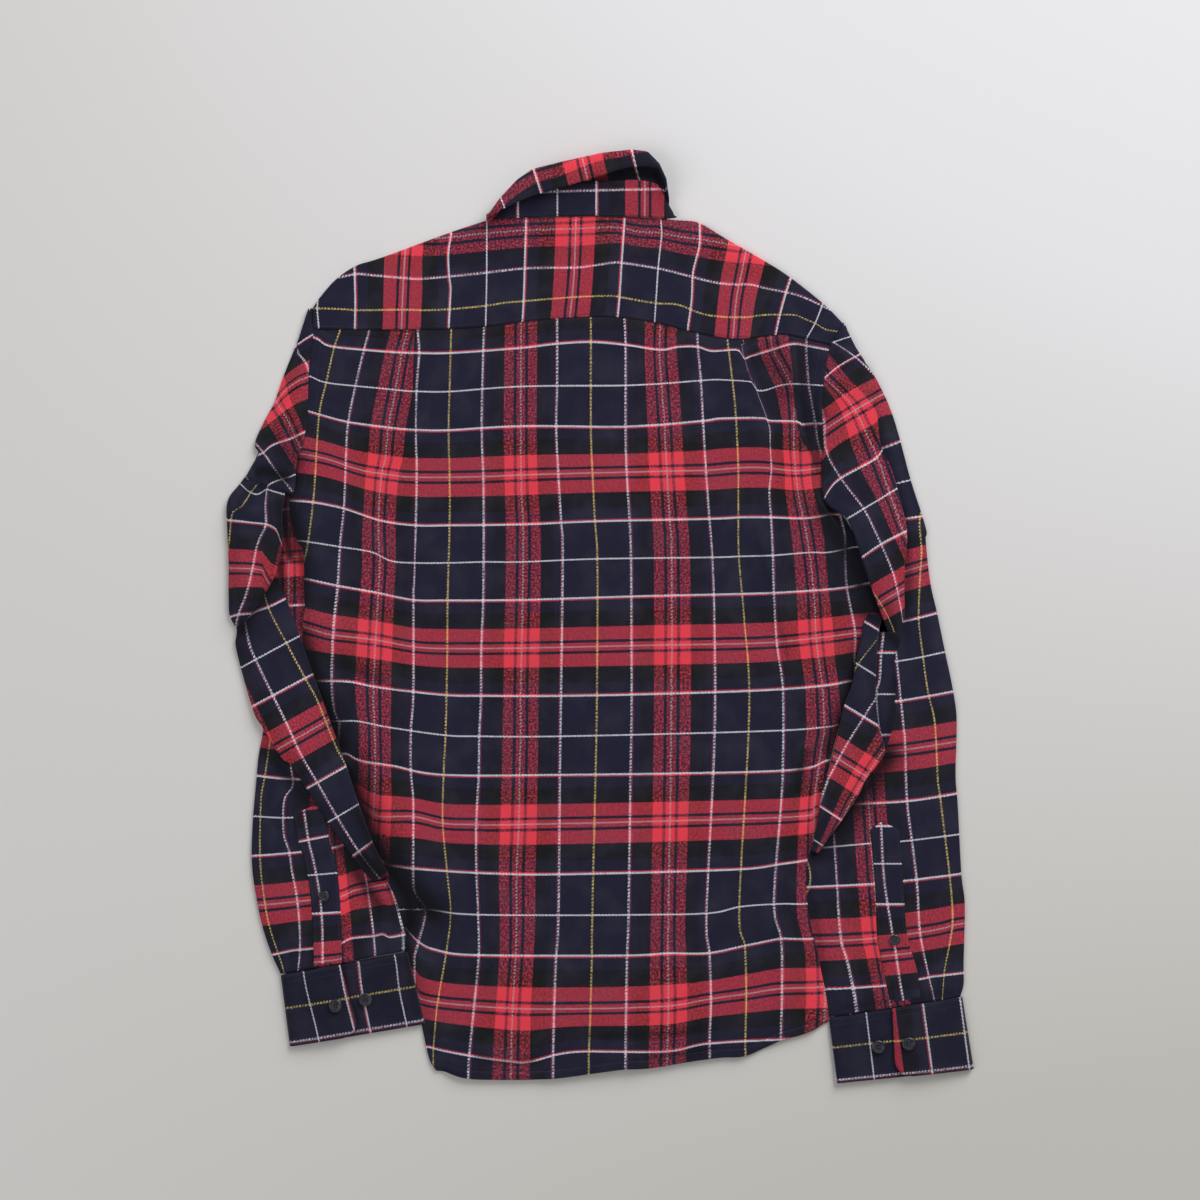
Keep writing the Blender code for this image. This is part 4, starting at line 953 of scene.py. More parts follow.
def finish(made, material, slot, *nodes):
    """Gives a piece its material and its body, and hides the nodes that it stands for; its slot is not used."""
    made.data.materials.clear()
    made.data.materials.append(material)
    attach(made, "root")
    if nodes:
        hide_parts(*nodes)


def finish_cloth(made, flat, held, rests_on, *nodes, area=None):
    """Finishes a piece of cloth in the flannel; what it was cut from and how it lies are not used."""
    finish(made, flannel(), "flannel", *nodes)


# --- Materials ---


class Socket:
    """A shader value that can be written in a formula."""

    def __init__(self, tree, output):
        self.tree, self.output = tree, output

    def maths(self, operation, *others, swap=False):
        node = self.tree.nodes.new("ShaderNodeMath")
        node.operation = operation
        for socket, value in zip(node.inputs, [*others, self] if swap else [self, *others]):
            if isinstance(value, Socket):
                self.tree.links.new(value.output, socket)
            else:
                socket.default_value = value
        return Socket(self.tree, node.outputs[0])

    def __add__(self, other):
        return self.maths("ADD", other)

    __radd__ = __add__

    def __mul__(self, other):
        return self.maths("MULTIPLY", other)

    __rmul__ = __mul__

    def __sub__(self, other):
        return self.maths("SUBTRACT", other)

    def __rsub__(self, other):
        return self.maths("SUBTRACT", other, swap=True)

    def __truediv__(self, other):
        return self.maths("DIVIDE", other)


class Shader:
    """A material's nodes."""

    def __init__(self, name):
        self.material = bpy.data.materials.new(name)
        self.material.use_nodes = True
        self.tree = self.material.node_tree
        self.shader = self.tree.nodes["Principled BSDF"]

    def node(self, kind, settings=None, inputs=None, *outputs):
        """A node of a kind: first its settings, such as a ramp's stops, then what its sockets get."""
        made = self.tree.nodes.new("ShaderNode" + kind)
        for key, value in (settings or {}).items():
            if key == "stops":
                self.set_stops(made.color_ramp.elements, value)
            elif key == "interpolation":
                made.color_ramp.interpolation = value
            else:
                setattr(made, key, value)
        for key, value in (inputs or {}).items():
            if isinstance(value, Socket):
                self.tree.links.new(value.output, made.inputs[key])
            else:
                made.inputs[key].default_value = value
        found = [Socket(self.tree, made.outputs[key]) for key in outputs or (0,)]
        return found if len(found) > 1 else found[0]

    @staticmethod
    def set_stops(elements, stops):
        while len(elements) > 1:
            elements.remove(elements[-1])
        elements[0].position, elements[0].color = stops[0]
        for position, colour in stops[1:]:
            elements.new(position).color = colour

    def ramp(self, value, stops, interpolation="LINEAR"):
        """The colour and the alpha of a ramp."""
        return self.node("ValToRGB", {"interpolation": interpolation, "stops": stops}, {0: value}, 0, 1)

    def mix(self, share, a, b, blend="MIX"):
        return self.node("Mix", {"data_type": "RGBA", "blend_type": blend}, {0: share, 6: a, 7: b}, 2)

    def noise(self, place, scale, detail, dimensions="3D"):
        return self.node("TexNoise", {"noise_dimensions": dimensions},
                         {"Vector": place, "Scale": scale, "Detail": detail})

    def bump(self, height, strength, distance):
        """Raises the surface by a height, with the distance in metres."""
        self.into("Normal", self.node("Bump", None, {"Height": height, "Strength": strength, "Distance": distance}))

    def into(self, key, value):
        """What changes over the surface."""
        self.tree.links.new(value.output, self.shader.inputs[key])

    def even(self, numbers):
        """What is the same all over the surface."""
        for key, value in numbers.items():
            self.shader.inputs[key].default_value = value


def root_of(yarn):
    """A yarn's colour as the square root of its light: two threads that cross are multiplied."""
    return tuple(math.sqrt(c) for c in getattr(settings(), yarn))


# Threads from the middle of a band outwards: the colour ends at this distance, in chart units
WARP = [(0.6, "pale"), (4.5, "red"), (7.3, "navy"), (17.3, "red"), (31.5, "black"), (36.8, "navy"),
        (38.4, "wine"), (40.4, "white"), (73.0, "navy"), (74.0, "yellow")]
WEFT = [(0.45, "pale"), (3.9, "red"), (6.4, "navy"), (19.25, "red"), (34.75, "black"), (45.2, "navy"),
        (46.5, "red"), (48.2, "white"), (84.2, "navy"), (85.0, "white")]
# How much a yarn stands out as a line, 0.5 to 1. The others are the ground
LINE_YARNS = {"white": 1.0, "pale": 1.0, "yellow": 1.0, "red": 0.5}
# Noise cells to a chart unit: the nap, the speckle of the crossed yarns, and patches where the nap is worn
FUZZ, SPECKLE, PATCHES = 0.9, 0.52, 0.035
TWILL = 3.3  # radians to a chart unit, across the twill
FLOATS = 2.0  # how many times faster a line's short floats follow each other than the twill crosses them
WORN_NAP = (0.10, 0.09, 0.12, 1.0)
# The near black that painted shade mixes the cloth's colour towards
PAINTED_SHADE_COLOUR = (0.003, 0.003, 0.006, 1.0)


@functools.cache
def flannel():
    """Brushed twill in the tartan, darkened by painted shade in the gaps between layers."""
    s = Shader("flannel")
    place = s.node("UVMap", {"uv_map": "weave"})
    u, v = s.node("SeparateXYZ", None, {0: place}, "X", "Y")
    fuzz, blobs, cloud = (s.noise(place, scale, detail, "2D")
                          for scale, detail in ((FUZZ, 2.0), (SPECKLE, 2.0), (PATCHES, 3.0)))
    twill = ((u + v) * TWILL).maths("SINE")
    dash = (v * FLOATS + u).maths("SINE")  # a twill line shows as a row of short floats
    step = (u * FLOATS + v).maths("SINE")

    def bands(at, threads):
        """The threads' colours, folded about the middle of a band, and how much they stand out."""
        half, start, stops = threads[-1][0], 0.0, []
        for end, yarn in threads:
            stops.append((start / half, root_of(yarn) + (LINE_YARNS.get(yarn, 0.0),)))
            start = end
        return s.ramp(at.maths("PINGPONG", half) / half, stops, "CONSTANT")

    warp, warp_kind = bands(u + (fuzz - 0.5) * 0.9 + dash * 0.35, WARP)
    weft, weft_kind = bands(v + (fuzz - 0.5) * 0.7 + step * 0.3, WEFT)
    warp_line, weft_line = ((kind * 2 - 1).maths("MAXIMUM", 0.0) for kind in (warp_kind, weft_kind))
    # How much of the weft shows: less under a line of the warp, and more where its own line crosses
    share = 0.6 + twill * 0.14 + (blobs - 0.5) * (warp_kind.maths("MINIMUM", 0.5) * 2.1 + 0.9)
    share = share + weft_line * (0.3 + step * 0.12) - warp_line * (0.22 + dash * 0.34)
    roots = s.mix(share.maths("MINIMUM", 0.96).maths("MAXIMUM", 0.04), warp, weft)
    colour = s.mix(1.0, roots, roots, "MULTIPLY")
    grain = s.ramp(fuzz * 0.7 + twill * 0.12 + 0.15, [(0.2, (0.6, 0.6, 0.6, 1)), (0.8, (1, 1, 1, 1))])[0]
    colour = s.mix(1.0, colour, grain, "MULTIPLY")
    worn = s.mix((cloud - 0.42).maths("MAXIMUM", 0.0) * 0.35, colour, WORN_NAP)
    # Painted shade: the colour is mixed towards near black by how deep among the layers each place lies, as stored on
    # the piece
    hollow = s.node("Attribute", {"attribute_name": "hollow"}, None, 2)
    s.into("Base Color", s.mix(hollow, worn, PAINTED_SHADE_COLOUR))
    s.even({"Roughness": 0.95, "Specular IOR Level": 0.15, "Sheen Weight": 0.08, "Sheen Roughness": 0.5})
    s.bump(twill * 0.25 + fuzz * 0.6 + blobs * 0.5, 0.4, 0.0006)
    return s.material


def cloudy(name, setting, scale, detail, shades):
    """A material in clouds of a setting's colour: shades are (place, times as light). Gives its noise too."""
    s = Shader(name)
    cloud = s.noise(s.node("TexCoord", None, None, "Object"), scale, detail)
    base = tuple(getattr(settings(), setting))
    s.into("Base Color", s.ramp(cloud, [(at, tuple(c * k for c in base) + (1.0,)) for at, k in shades])[0])
    return s, cloud


@functools.cache
def plastic():
    """The buttons' cloudy dark plastic."""
    s, _ = cloudy("button_plastic", "button", 260.0, 3.0, ((0.3, 0.5), (0.75, 1.8)))
    s.even({"Roughness": 0.22})
    return s.material


@functools.cache
def thread():
    """Fuzzy sewing thread."""
    s, fuzz = cloudy("sewing_thread", "thread", 1800.0, 2.0, ((0.3, 0.6), (0.7, 1.3)))
    s.even({"Roughness": 0.6})
    s.bump(fuzz, 0.5, 0.0001)
    return s.material


# --- Pieces ---


def x_at(line, y):
    """How far over a line is at a height. Its points are (x, y), from the top."""
    p = np.array(line, float)
    return np.interp(-y, -p[:, 1], p[:, 0])


def y_at(line, x):
    """How high a line is at a place. Its points are (x, y), from the left."""
    p = np.array(line, float)
    return np.interp(x, p[:, 0], p[:, 1])


def shrunk(plan, keep):
    """Places drawn towards the middle of their row."""
    middle = (plan[:, :1] + plan[:, -1:]) / 2
    return middle + (plan - middle) * keep


def laid_on(nodes, plan, keep, times):
    """Heights (mm) of the middle of cloth whose top is the top of these nodes."""
    return smoothed(heights_on(surface_of(*nodes), shrunk(plan, keep)), times) - size("cloth") / 2


BACK_PITCH, BACK_ROWS, HEM_ROWS = 3.2, 200, 16  # the grid's columns (mm), its rows above the hem, and in it
HEM_START = 0.975  # the share of the back's length that is above the rows of the hem
PLEAT_STEP = 0.3  # between the two columns at a pleat
BACK_LEAST = 2.4  # the back lies on the fronts
# How deep, and how wide or over what length
SEAM_PULL, SIDE_FALL, HEM_FALL, STITCH_PULL, HEM_STEP = (0.9, 3.8), (3.2, 9), (1.2, 4.5), (0.6, 1.1), (0.45, 1.2)
SIDE_FALL_FROM = (40, 95)  # the sides fall this far below the seam, and fully after as much again
HEM_ROPE, ROPE_WAVE, ROPE_SWING = (0.28, 9), 4.6, 31


def back_heights(plan):
    """Heights of the back over the fronts, with its pleats, creases, sides and hem."""
    seam_away, hem_away, left_away, right_away = (
        np.linalg.norm(plan - edge, axis=2) for edge in (plan[:1], plan[-1:], plan[:, :1], plan[:, -1:]))
    z = creased("back_panel", laid_on(["back"], plan, 0.97, 5) + undulation(plan, 3, size("waves")), plan)
    z = z - SEAM_PULL[0] * np.exp(-seam_away / SEAM_PULL[1])
    sides = soft((seam_away - SIDE_FALL_FROM[0]) / SIDE_FALL_FROM[1])
    for away in (left_away, right_away):
        z = z - dip(away, SIDE_FALL[0] * sides, SIDE_FALL[1])
    z = z - dip(hem_away, *HEM_FALL) + HEM_STEP[0] * soft((HEM_DEEP - hem_away) / HEM_STEP[1])
    z = z - dip(hem_away - HEM_DEEP, *STITCH_PULL)
    x = plan[..., 0]
    rope = np.sin(x / ROPE_WAVE + 2 * np.sin(x / ROPE_SWING))  # a turned hem ropes a little
    return np.maximum(z + HEM_ROPE[0] * dip(hem_away, rope, HEM_ROPE[1]), BACK_LEAST)


def build_back():
    pleats = [[(x + step, y) for x, y in pleat] for pleat in (PLEAT_LEFT, PLEAT_RIGHT) for step in (0, PLEAT_STEP)]
    guides = [BODY_LEFT, *pleats[:2], [(0, 260), (0, -396)], *pleats[2:], INNER_FOLD, BODY_RIGHT]
    rows = np.concatenate([np.linspace(0, HEM_START, BACK_ROWS)[:-1], np.linspace(HEM_START, 1, HEM_ROWS)])
    plan = coons([(x, y - 0.3) for x, y in YOKE_SEAM], HEM, guides, BACK_PITCH, rows)
    grid, spots = np.dstack([plan, back_heights(plan)]), plan.copy()
    for side, column, under in (("left", 0, LEFT_TURNED_UNDER), ("right", -1, RIGHT_TURNED_UNDER)):
        grid, spots = roll_edge(grid, spots, side, TO_FLOOR, x_at(under, plan[:, column, 1]), tail_steps=6, level=True)
    grid, spots = roll_edge(grid, spots, "bottom", 0.5, HEM_DEEP - 1, steps=4, reach=3.0)
    made = cloth_object("back_panel", grid, Weave(BACK_DOWN, BACK_ACROSS, folds=BACK_FOLDS).at(spots))
    finish_cloth(made, (0.60, 0.66), "laid", ["front_left_panel", "front_right_panel"], "back")


YOKE_PITCH = 3.0
YOKE_LIFT = 0.4  # the yoke lies on the back's turned seam
NECK_ROLL, NECK_TURN, SHOULDER_TURN, SHOULDER_BLEND = 0.3, 3, 22, 14


def build_yoke():
    ends = [[YOKE_TOP[k], YOKE_SEAM[k]] for k in (0, -1)]
    plan = coons(YOKE_TOP, YOKE_SEAM, [ends[0], *YOKE_GUIDES, ends[1]], YOKE_PITCH)
    z = laid_on(["yoke", "back"], plan, 0.98, 4) + YOKE_LIFT + undulation(plan, 8, 0.2)
    x = plan[0, :, 0]
    beside = soft(np.maximum(NECK[0] - x, x - NECK[1]) / SHOULDER_BLEND)  # 0 at the neck, 1 over the shoulders
    grid, spots = np.dstack([plan, z]), plan.copy()
    radius = np.maximum((z[0] - FLOOR) / 2 * beside, NECK_ROLL)
    grid, spots = roll_edge(grid, spots, "top", radius, NECK_TURN + SHOULDER_TURN * beside, tail_steps=4)
    grid, spots = roll_edge(grid, spots, "bottom", 0.5, 3.0, steps=4)
    made = cloth_object("yoke_panel", grid, Weave(YOKE_DOWN, YOKE_ACROSS, turned=True).at(spots))
    finish_cloth(made, (0.47, 0.115), "laid", ["back_panel"], "yoke")


WELD = 0.00002  # metres: corners of loose triangles that are one point


def copied(node, name, weave=Weave(), levels=1, change=None):
    """A finely divided copy of a soft node's shape."""
    mesh = needed(node).data.copy()
    mesh.name = name
    work = bmesh.new()
    work.from_mesh(mesh)
    bmesh.ops.remove_doubles(work, verts=work.verts, dist=WELD)
    if change:
        change(work)
    uv = work.loops.layers.uv.get("weave") or work.loops.layers.uv.new("weave")
    work.verts.index_update()
    plan = np.array([v.co.xy[:] for v in work.verts]) / MM
    places = weave.at(plan)
    for face in work.faces:
        face.smooth = True
        for loop in face.loops:
            loop[uv].uv = places[loop.vert.index]
    work.to_mesh(mesh)
    work.free()
    store_painted_shade(mesh, name, plan)
    made = placed(name, mesh)
    if levels:
        fine = made.modifiers.new("fine", "SUBSURF")
        fine.subdivision_type = "SIMPLE"
        fine.levels = fine.render_levels = levels
        apply_modifiers(made)
    return made


def build_fronts():
    for side, cut in (("left", (0.25, 0.68)), ("right", (0.24, 0.66))):
        finish_cloth(copied(f"front_{side}", f"front_{side}_panel", levels=0), cut, "laid", [], f"front_{side}")
    finish_cloth(copied("front_placket", "front_band"), (0.032, 0.63), "laid", ["front_left_panel"], "front_placket")


LAYER_PITCH = 2.4
LAYER_WAVES = (0.3, 38)  # height and length of a layer's soft waves
LAYER_LEAST = 0.6  # a layer's middle is at least this far above the floor's own layer
LAYER_TURN = 0.3  # the most that is rolled or turned under, as a share of its width
DROP_WIDE = 8


def sleeve_layer(side, part, edges, weave, seed, rolls, tails, drops=(1.0, 1.0), keep=0.75, low=math.inf, lift=0.0,
                 crown=0.8, sunk=None, end_roll=None):
    """One shown layer of a sleeve, on its solid's top.

    rolls, tails and drops are for its left and right edge, seen from above. low is the greatest height of a
    layer that others lie on. sunk, for a layer that goes in below the one over its top, is the heights where
    it starts and is all in, and how deep. crown is how much its middle is raised, and end_roll the radius of
    an end that is rolled under.
    """
    name = f"sleeve_{side}_{part}"
    left, right = edges[::-1] if side == "left" else edges
    plan = coons([left[0], right[0]], [left[-1], right[-1]], [left, right], LAYER_PITCH)
    z = np.minimum(laid_on([f"sleeve_{side}"], plan, keep, 0), low)
    over = np.linspace(-1, 1, plan.shape[1])
    z = smoothed(z, 12) + undulation(plan, seed, *LAYER_WAVES) + lift + crown * (1 - over**2)
    for edge, drop in zip((0, -1), drops):
        z = z - dip(np.linalg.norm(plan - plan[:, edge][:, None], axis=2), drop, DROP_WIDE)
    z = creased(name, z, plan)
    if sunk:
        start, end, deep = sunk
        z = z - deep * soft((plan[..., 1] - start) / (end - start))
    grid, spots = np.dstack([plan, np.maximum(z, FLOOR + LAYER_LEAST)]), plan.copy()
    most = LAYER_TURN * np.linalg.norm(plan[:, 0] - plan[:, -1], axis=1)
    for edge, roll, tail in zip(("left", "right"), rolls, tails):
        grid, spots = roll_edge(grid, spots, edge, np.minimum(roll, most), np.minimum(tail, most), reach=8.0)
    if end_roll:
        grid, spots = roll_edge(grid, spots, "bottom", end_roll, 2.0, steps=4, reach=5.0)
    return cloth_object(name, grid, weave.at(spots))


# The shown layers from the lowest: the cut of what shows (m), edges, lines down and across, and the rest
SLEEVE_LAYERS = {
    "right": [
        ("lower", (0.095, 0.600), RIGHT_LOWER_EDGES, RIGHT_LOWER_DOWN, RIGHT_LOWER_ACROSS,
         dict(seed=21, rolls=(1.4, TO_FLOOR), tails=(3, 6), drops=(2.0, 2.2), keep=0.85, low=5.3)),
        ("inner", (0.038, 0.110), RIGHT_INNER_EDGES, RIGHT_INNER_DOWN, RIGHT_INNER_ACROSS,
         dict(seed=22, rolls=(0.8, 0.9), tails=(3, 3), low=6.3, lift=1.0)),
        ("flap", (0.045, 0.225), RIGHT_FLAP_EDGES, RIGHT_FLAP_DOWN, RIGHT_FLAP_ACROSS,
         dict(seed=23, rolls=(2.0, 1.8), tails=(4, 4), keep=0.6, sunk=(-14, 2, 3.0))),
        ("upper", (0.060, 0.300), RIGHT_UPPER_EDGES, RIGHT_UPPER_DOWN, RIGHT_UPPER_ACROSS,
         dict(seed=24, rolls=(1.6, 1.8), tails=(4, 4), keep=0.7, lift=0.6)),
    ],
    "left": [
        ("under", (0.036, 0.175), LEFT_UNDER_EDGES, LEFT_UNDER_DOWN, LEFT_UNDER_ACROSS,
         dict(seed=31, rolls=(0.5, TO_FLOOR), tails=(3, 4), drops=(0, 0), low=2.6, crown=0.0)),
        ("lower", (0.105, 0.260), LEFT_LOWER_EDGES, LEFT_LOWER_DOWN, LEFT_LOWER_ACROSS,
         dict(seed=32, rolls=(TO_FLOOR, 1.2), tails=(6, 3), drops=(2.2, 2.0), keep=0.85, low=5.3)),
        ("strip", (0.060, 0.330), LEFT_STRIP_EDGES, LEFT_STRIP_DOWN, LEFT_STRIP_ACROSS,
         dict(seed=33, rolls=(2.0, 2.4), tails=(4, 4), drops=(2.5, 1.5), keep=0.6, sunk=(14, 34, 5.0))),
        ("fold", (0.060, 0.175), LEFT_FOLD_EDGES, LEFT_FOLD_DOWN, LEFT_FOLD_ACROSS,
         dict(seed=34, rolls=(TO_FLOOR, 2.0), tails=(6, 4), drops=(5.5, 1.0), keep=0.7, lift=0.8)),
        ("upper", (0.048, 0.175), LEFT_UPPER_EDGES, LEFT_UPPER_DOWN, LEFT_UPPER_ACROSS,
         dict(seed=35, rolls=(TO_FLOOR, 1.2), tails=(6, 3), drops=(3.0, 1.0), keep=0.8, lift=1.2, end_roll=1.6)),
    ],
}
DRAWN_IN, DRAWN_OVER = 5.0, 16  # how far a body's sides are drawn in, and over what width
BODY_TOP, BODY_SHARE, UNDERSIDE = 4.0, 0.7, 1.2  # a body's greatest height, its share of the solid's, its underside
ELBOW, ELBOW_TOP = (-70, 130), 1.6  # the left body is flatter in its elbow, where its lowest layer shows


def build_sleeve(side):
    """The sleeve's body, whose underside shows from below, and the layers that show from above."""

    def draw_in(work):
        for v in work.verts:
            x, y, z = v.co / MM
            away = x - x_at(SLEEVE_MIDDLE[side], y)
            v.co.x = (x - math.copysign(DRAWN_IN * min(1.0, abs(away) / DRAWN_OVER), away)) * MM
            if z > UNDERSIDE:
                top = ELBOW_TOP if side == "left" and ELBOW[0] < y < ELBOW[1] else BODY_TOP
                v.co.z = min(FLOOR + (z - FLOOR) * BODY_SHARE, top) * MM

    down, across = next(layer[3:5] for layer in SLEEVE_LAYERS[side] if layer[0] == "lower")
    body = copied(f"sleeve_{side}", f"sleeve_{side}_body", Weave(down, across), change=draw_in)
    finish_cloth(body, (0.24, 0.50), "folded", ["floor"], f"sleeve_{side}", area=0.092)
    for part, cut, edges, down, across, rest in SLEEVE_LAYERS[side]:
        finish_cloth(sleeve_layer(side, part, edges, Weave(down, across), **rest), cut, "folded", [body.name])


# The cuffs (mm): how far the free end laps over the other, the room inside, and between the lapped ends
CUFF_UNDERLAP, CUFF_ROOM, CUFF_LAP = 22.0, 3.2, 0.5
CUFF_ROUND = 2.0  # the turn at each side
CUFF_CORNER = 0.72  # the share of its height that is above the rows of the rounded corner
CUFF_TOP_POINTS = 42  # how many points round a cuff read the tartan of its free end


def cuff_section(wall, width, free, tucked):
    """The points round a cuff, (along it, height): the free end, the far side, underneath, and the tucked end."""
    low = wall / 2
    under = low + CUFF_ROOM
    over = under + wall + CUFF_LAP
    far = max(tucked + 6.0, free + 14.0)
    return np.vstack([
        np.linspace((free, over), (far, over), 14),
        np.linspace((far + 3, over), (width - CUFF_ROUND, under), 12),
        [(width, (under + low) / 2)],
        np.linspace((width - CUFF_ROUND, low), (CUFF_ROUND, low), 30),
        [(0.0, (under + low) / 2)],
        np.linspace((CUFF_ROUND, under), (tucked, under - 0.2), 24),
    ])


def build_cuff(side, corners, weave):
    """A stiff band round the wrist: its free end lies on top, over the end with the buttons."""
    seam_in, seam_out, hem_in, hem_out = (np.array(c, float) for c in corners[:4])
    edge_seam, edge_hem, corner = corners[4:]
    grid = []
    rows = np.concatenate([np.linspace(0, CUFF_CORNER, 16)[:-1], np.linspace(CUFF_CORNER, 1, 14)])
    for v in rows:
        start, end = seam_in + v * (hem_in - seam_in), seam_out + v * (hem_out - seam_out)
        edge = edge_seam + v * (edge_hem - edge_seam)
        width = np.linalg.norm(end - start)
        deep = np.linalg.norm(hem_in - seam_in) * (1 - v)
        inset = corner - math.sqrt(max(0.0, corner**2 - max(0.0, corner - deep) ** 2))
        section = cuff_section(size("cuff"), width, edge * width + inset, edge * width + CUFF_UNDERLAP)
        section[:, 1] += 0.12 * np.sin(section[:, 0] / 9) * math.sin(v * 5)  # it isn't quite flat
        grid.append(np.column_stack([start + section[:, :1] * ((end - start) / width), section[:, 1]]))
    grid = np.array(grid)
    on_top = np.arange(grid.shape[1]) < CUFF_TOP_POINTS
    sides = np.where(on_top == (side == "right"), 1, -1)
    coords = weave.at(grid[..., :2], np.broadcast_to(sides, grid.shape[:2]))
    made = cloth_object(f"cuff_{side}_band", grid, coords, size("cuff"))
    finish_cloth(made, (0.255, 0.066), "folded", [f"sleeve_{side}_body"], f"cuff_{side}")


PLACKET_PITCH = 1.6
PLACKET_THICK = 0.9
POINT_FADE = 18  # mm below its tip over which a placket's columns even out


def build_placket(side, edges, weave, tip):
    """The strip over the slit above the cuff, with a point at its top."""
    left, right = edges[::-1] if side == "left" else edges
    plan = coons([left[0], tip, right[0]], [left[-1], right[-1]], [left, right], PLACKET_PITCH)
    share = np.linspace(-1, 1, plan.shape[1])[:, None]
    corner = np.where(share < 0, left[0], right[0])
    top = corner + (tip - corner) * (1 - abs(share))
    fade = np.exp(-np.arange(len(plan)) * PLACKET_PITCH / POINT_FADE)[:, None, None]
    plan = plan + (top - plan[0]) * fade
    z = laid_on([f"sleeve_placket_{side}", f"sleeve_{side}"], plan, 0.5, 8) + undulation(plan, 51, 0.12, 30)
    grid, spots = np.dstack([plan, z]), plan.copy()
    for edge in ("left", "right", "top"):
        grid, spots = roll_edge(grid, spots, edge, 0.5, 2.5, steps=4, reach=3.0)
    made = cloth_object(f"sleeve_placket_{side}_strip", grid, weave.at(spots), PLACKET_THICK)
    finish_cloth(made, (0.032, 0.165), "laid", [f"sleeve_{side}_lower"], f"sleeve_placket_{side}")


# The collar (mm): its hidden half runs round the front of the neck, flat on the fronts
FRONT_ENDS, FRONT_TOP, FRONT_DROP = (-91.0, 57.0), 346.5, 58.0
FRONT_POINTS = 50
STAND_HIGH, STAND_HEIGHT = 26.0, 3.7  # how wide the stand lies in front, and how high above the floor
STAND_ENDS, STAND_FOOT, STAND_RISE, STAND_CROWN = (-92.5, 57.0), 7.4, 4.0, 1.5
LEAF_FOOT, LEAF_THICKNESS = 12.4, 6.5  # height of the leaf's under side behind the neck, and of its top above that
POINT_FROM, POINT_OUT, POINT_DEEP, LEAF_DEEP = 0.6, 26, 22.0, 44.0
# The leaf's turn in front: (share of its depth, mm beyond its fold, height)
LEAF_FRONT = [(0, 0.0, 3.7), (0, 2.0, 3.4), (0, 3.4, 2.8), (0, 3.8, 2.25), (0, 2.6, 0.9), (0.5, 0.0, 0.8),
              (1.0, 0.0, 0.8)]


def neck_front(x):
    """How high the neck's seam is in front, and how far round the neck each place is, 0 to 1."""
    left, right = FRONT_ENDS
    dip = np.sin(math.pi * np.clip((x - left) / (right - left), 0, 1)) ** 0.8
    return FRONT_TOP - FRONT_DROP * dip, dip


def round_neck(back, front_x, front):
    """A row of points from the centre front, round the left side, the back and the right side."""
    middle = (front_x[0] + front_x[-1]) / 2
    left, right = front[front_x < middle], front[front_x > middle][::-1]
    turns = [(a + b) / 2 + (step, 0, 0) for a, b, step in ((left[0], back[0], -2.5), (right[0], back[-1], 2.5))]
    return np.vstack([left[::-1], turns[0], back, turns[1], right])


def build_stand():
    table = np.array(COLLAR, float)
    grid = []
    for v in np.linspace(0, 1, 14):
        left, right = STAND_ENDS[0] + 2.0 * v, STAND_ENDS[1] - 3.5 * v**6
        x = np.linspace(left, right, 70)
        top = np.interp(x, table[:, 0], table[:, 1]) - 0.3
        seam = y_at(YOKE_TOP, x) + size("collar") / 2 + 0.3
        z = STAND_FOOT + STAND_RISE * v + STAND_CROWN * np.sin(math.pi * (x - left) / (right - left))
        back = np.column_stack([x, seam + (top - seam) * v, z])
        front_x = np.linspace(left, 66.0 - 9.0 * v, FRONT_POINTS)
        seam_y, dip = neck_front(front_x)
        front_y = seam_y + v * STAND_HIGH * (0.02 + 0.98 * dip)
        front = np.column_stack([front_x, front_y, np.full(FRONT_POINTS, STAND_HEIGHT)])
        grid.append(round_neck(back, front_x, front))
    grid = np.array(grid)[::-1]
    coords = Weave(STAND_DOWN, STAND_ACROSS, turned=True).at(grid[..., :2])
    made = cloth_object("collar_stand_band", grid, coords, size("collar"))
    finish_cloth(made, (0.32, 0.030), "folded", ["yoke_panel"], "collar_stand")


def build_leaf():
    table = np.array(COLLAR, float)
    left, right = COLLAR[0][0], COLLAR[-1][0]
    x = np.linspace(left, right, 80)
    stand, turn, free = (np.interp(x, table[:, 0], table[:, k]) for k in (1, 2, 3))
    low = LEAF_FOOT + STAND_CROWN * np.sin(math.pi * (x - left) / (right - left))
    top = low + LEAF_THICKNESS
    # Behind the neck, from the free edge underneath, over the turn, to the free edge on top: (y, height)
    back = [
        (stand - 4.5, low - 2.6), (stand + (turn - stand) * 0.6 + 0.5, low - 0.6), (turn - 1.0, low + 1.8),
        (turn, (low + top) / 2 + 0.4), (turn - 1.5, top - 0.6), (turn + (free - turn) * 0.5, top + 0.9),
        (free, top + 0.2),
    ]
    front_x = np.linspace(left, right, FRONT_POINTS)
    seam_y, dip = neck_front(front_x)
    fold_y = seam_y + STAND_HIGH * (0.02 + 0.98 * dip) + 3.6 * dip - 2.5 * (1 - dip)
    off_middle = front_x - (left + right) / 2
    to_middle = 1 - np.abs(off_middle) / ((right - left) / 2)
    point = soft((to_middle - POINT_FROM) / (1 - POINT_FROM))
    outward = np.sign(off_middle) * POINT_OUT * point
    deep = (LEAF_DEEP + POINT_DEEP * point) * soft(to_middle / 0.3)
    rows = []
    for (y, z), (down, beyond, height) in zip(back, LEAF_FRONT):
        front = np.column_stack([front_x + outward * down, fold_y + beyond - down * deep,
                                 np.full(FRONT_POINTS, height)])
        rows.append(round_neck(np.column_stack([x, y, z]), front_x, front))
    rows = np.array(rows)
    grid = np.stack([spline(rows[:, j], 30) for j in range(rows.shape[1])], axis=1)
    coords = Weave(LEAF_DOWN, LEAF_ACROSS, turned=True).at(grid[..., :2])
    made = cloth_object("collar_leaf_cloth", grid, coords, size("collar"))
    finish_cloth(made, (0.33, 0.055), "folded", ["collar_stand_band"], "collar_leaf")


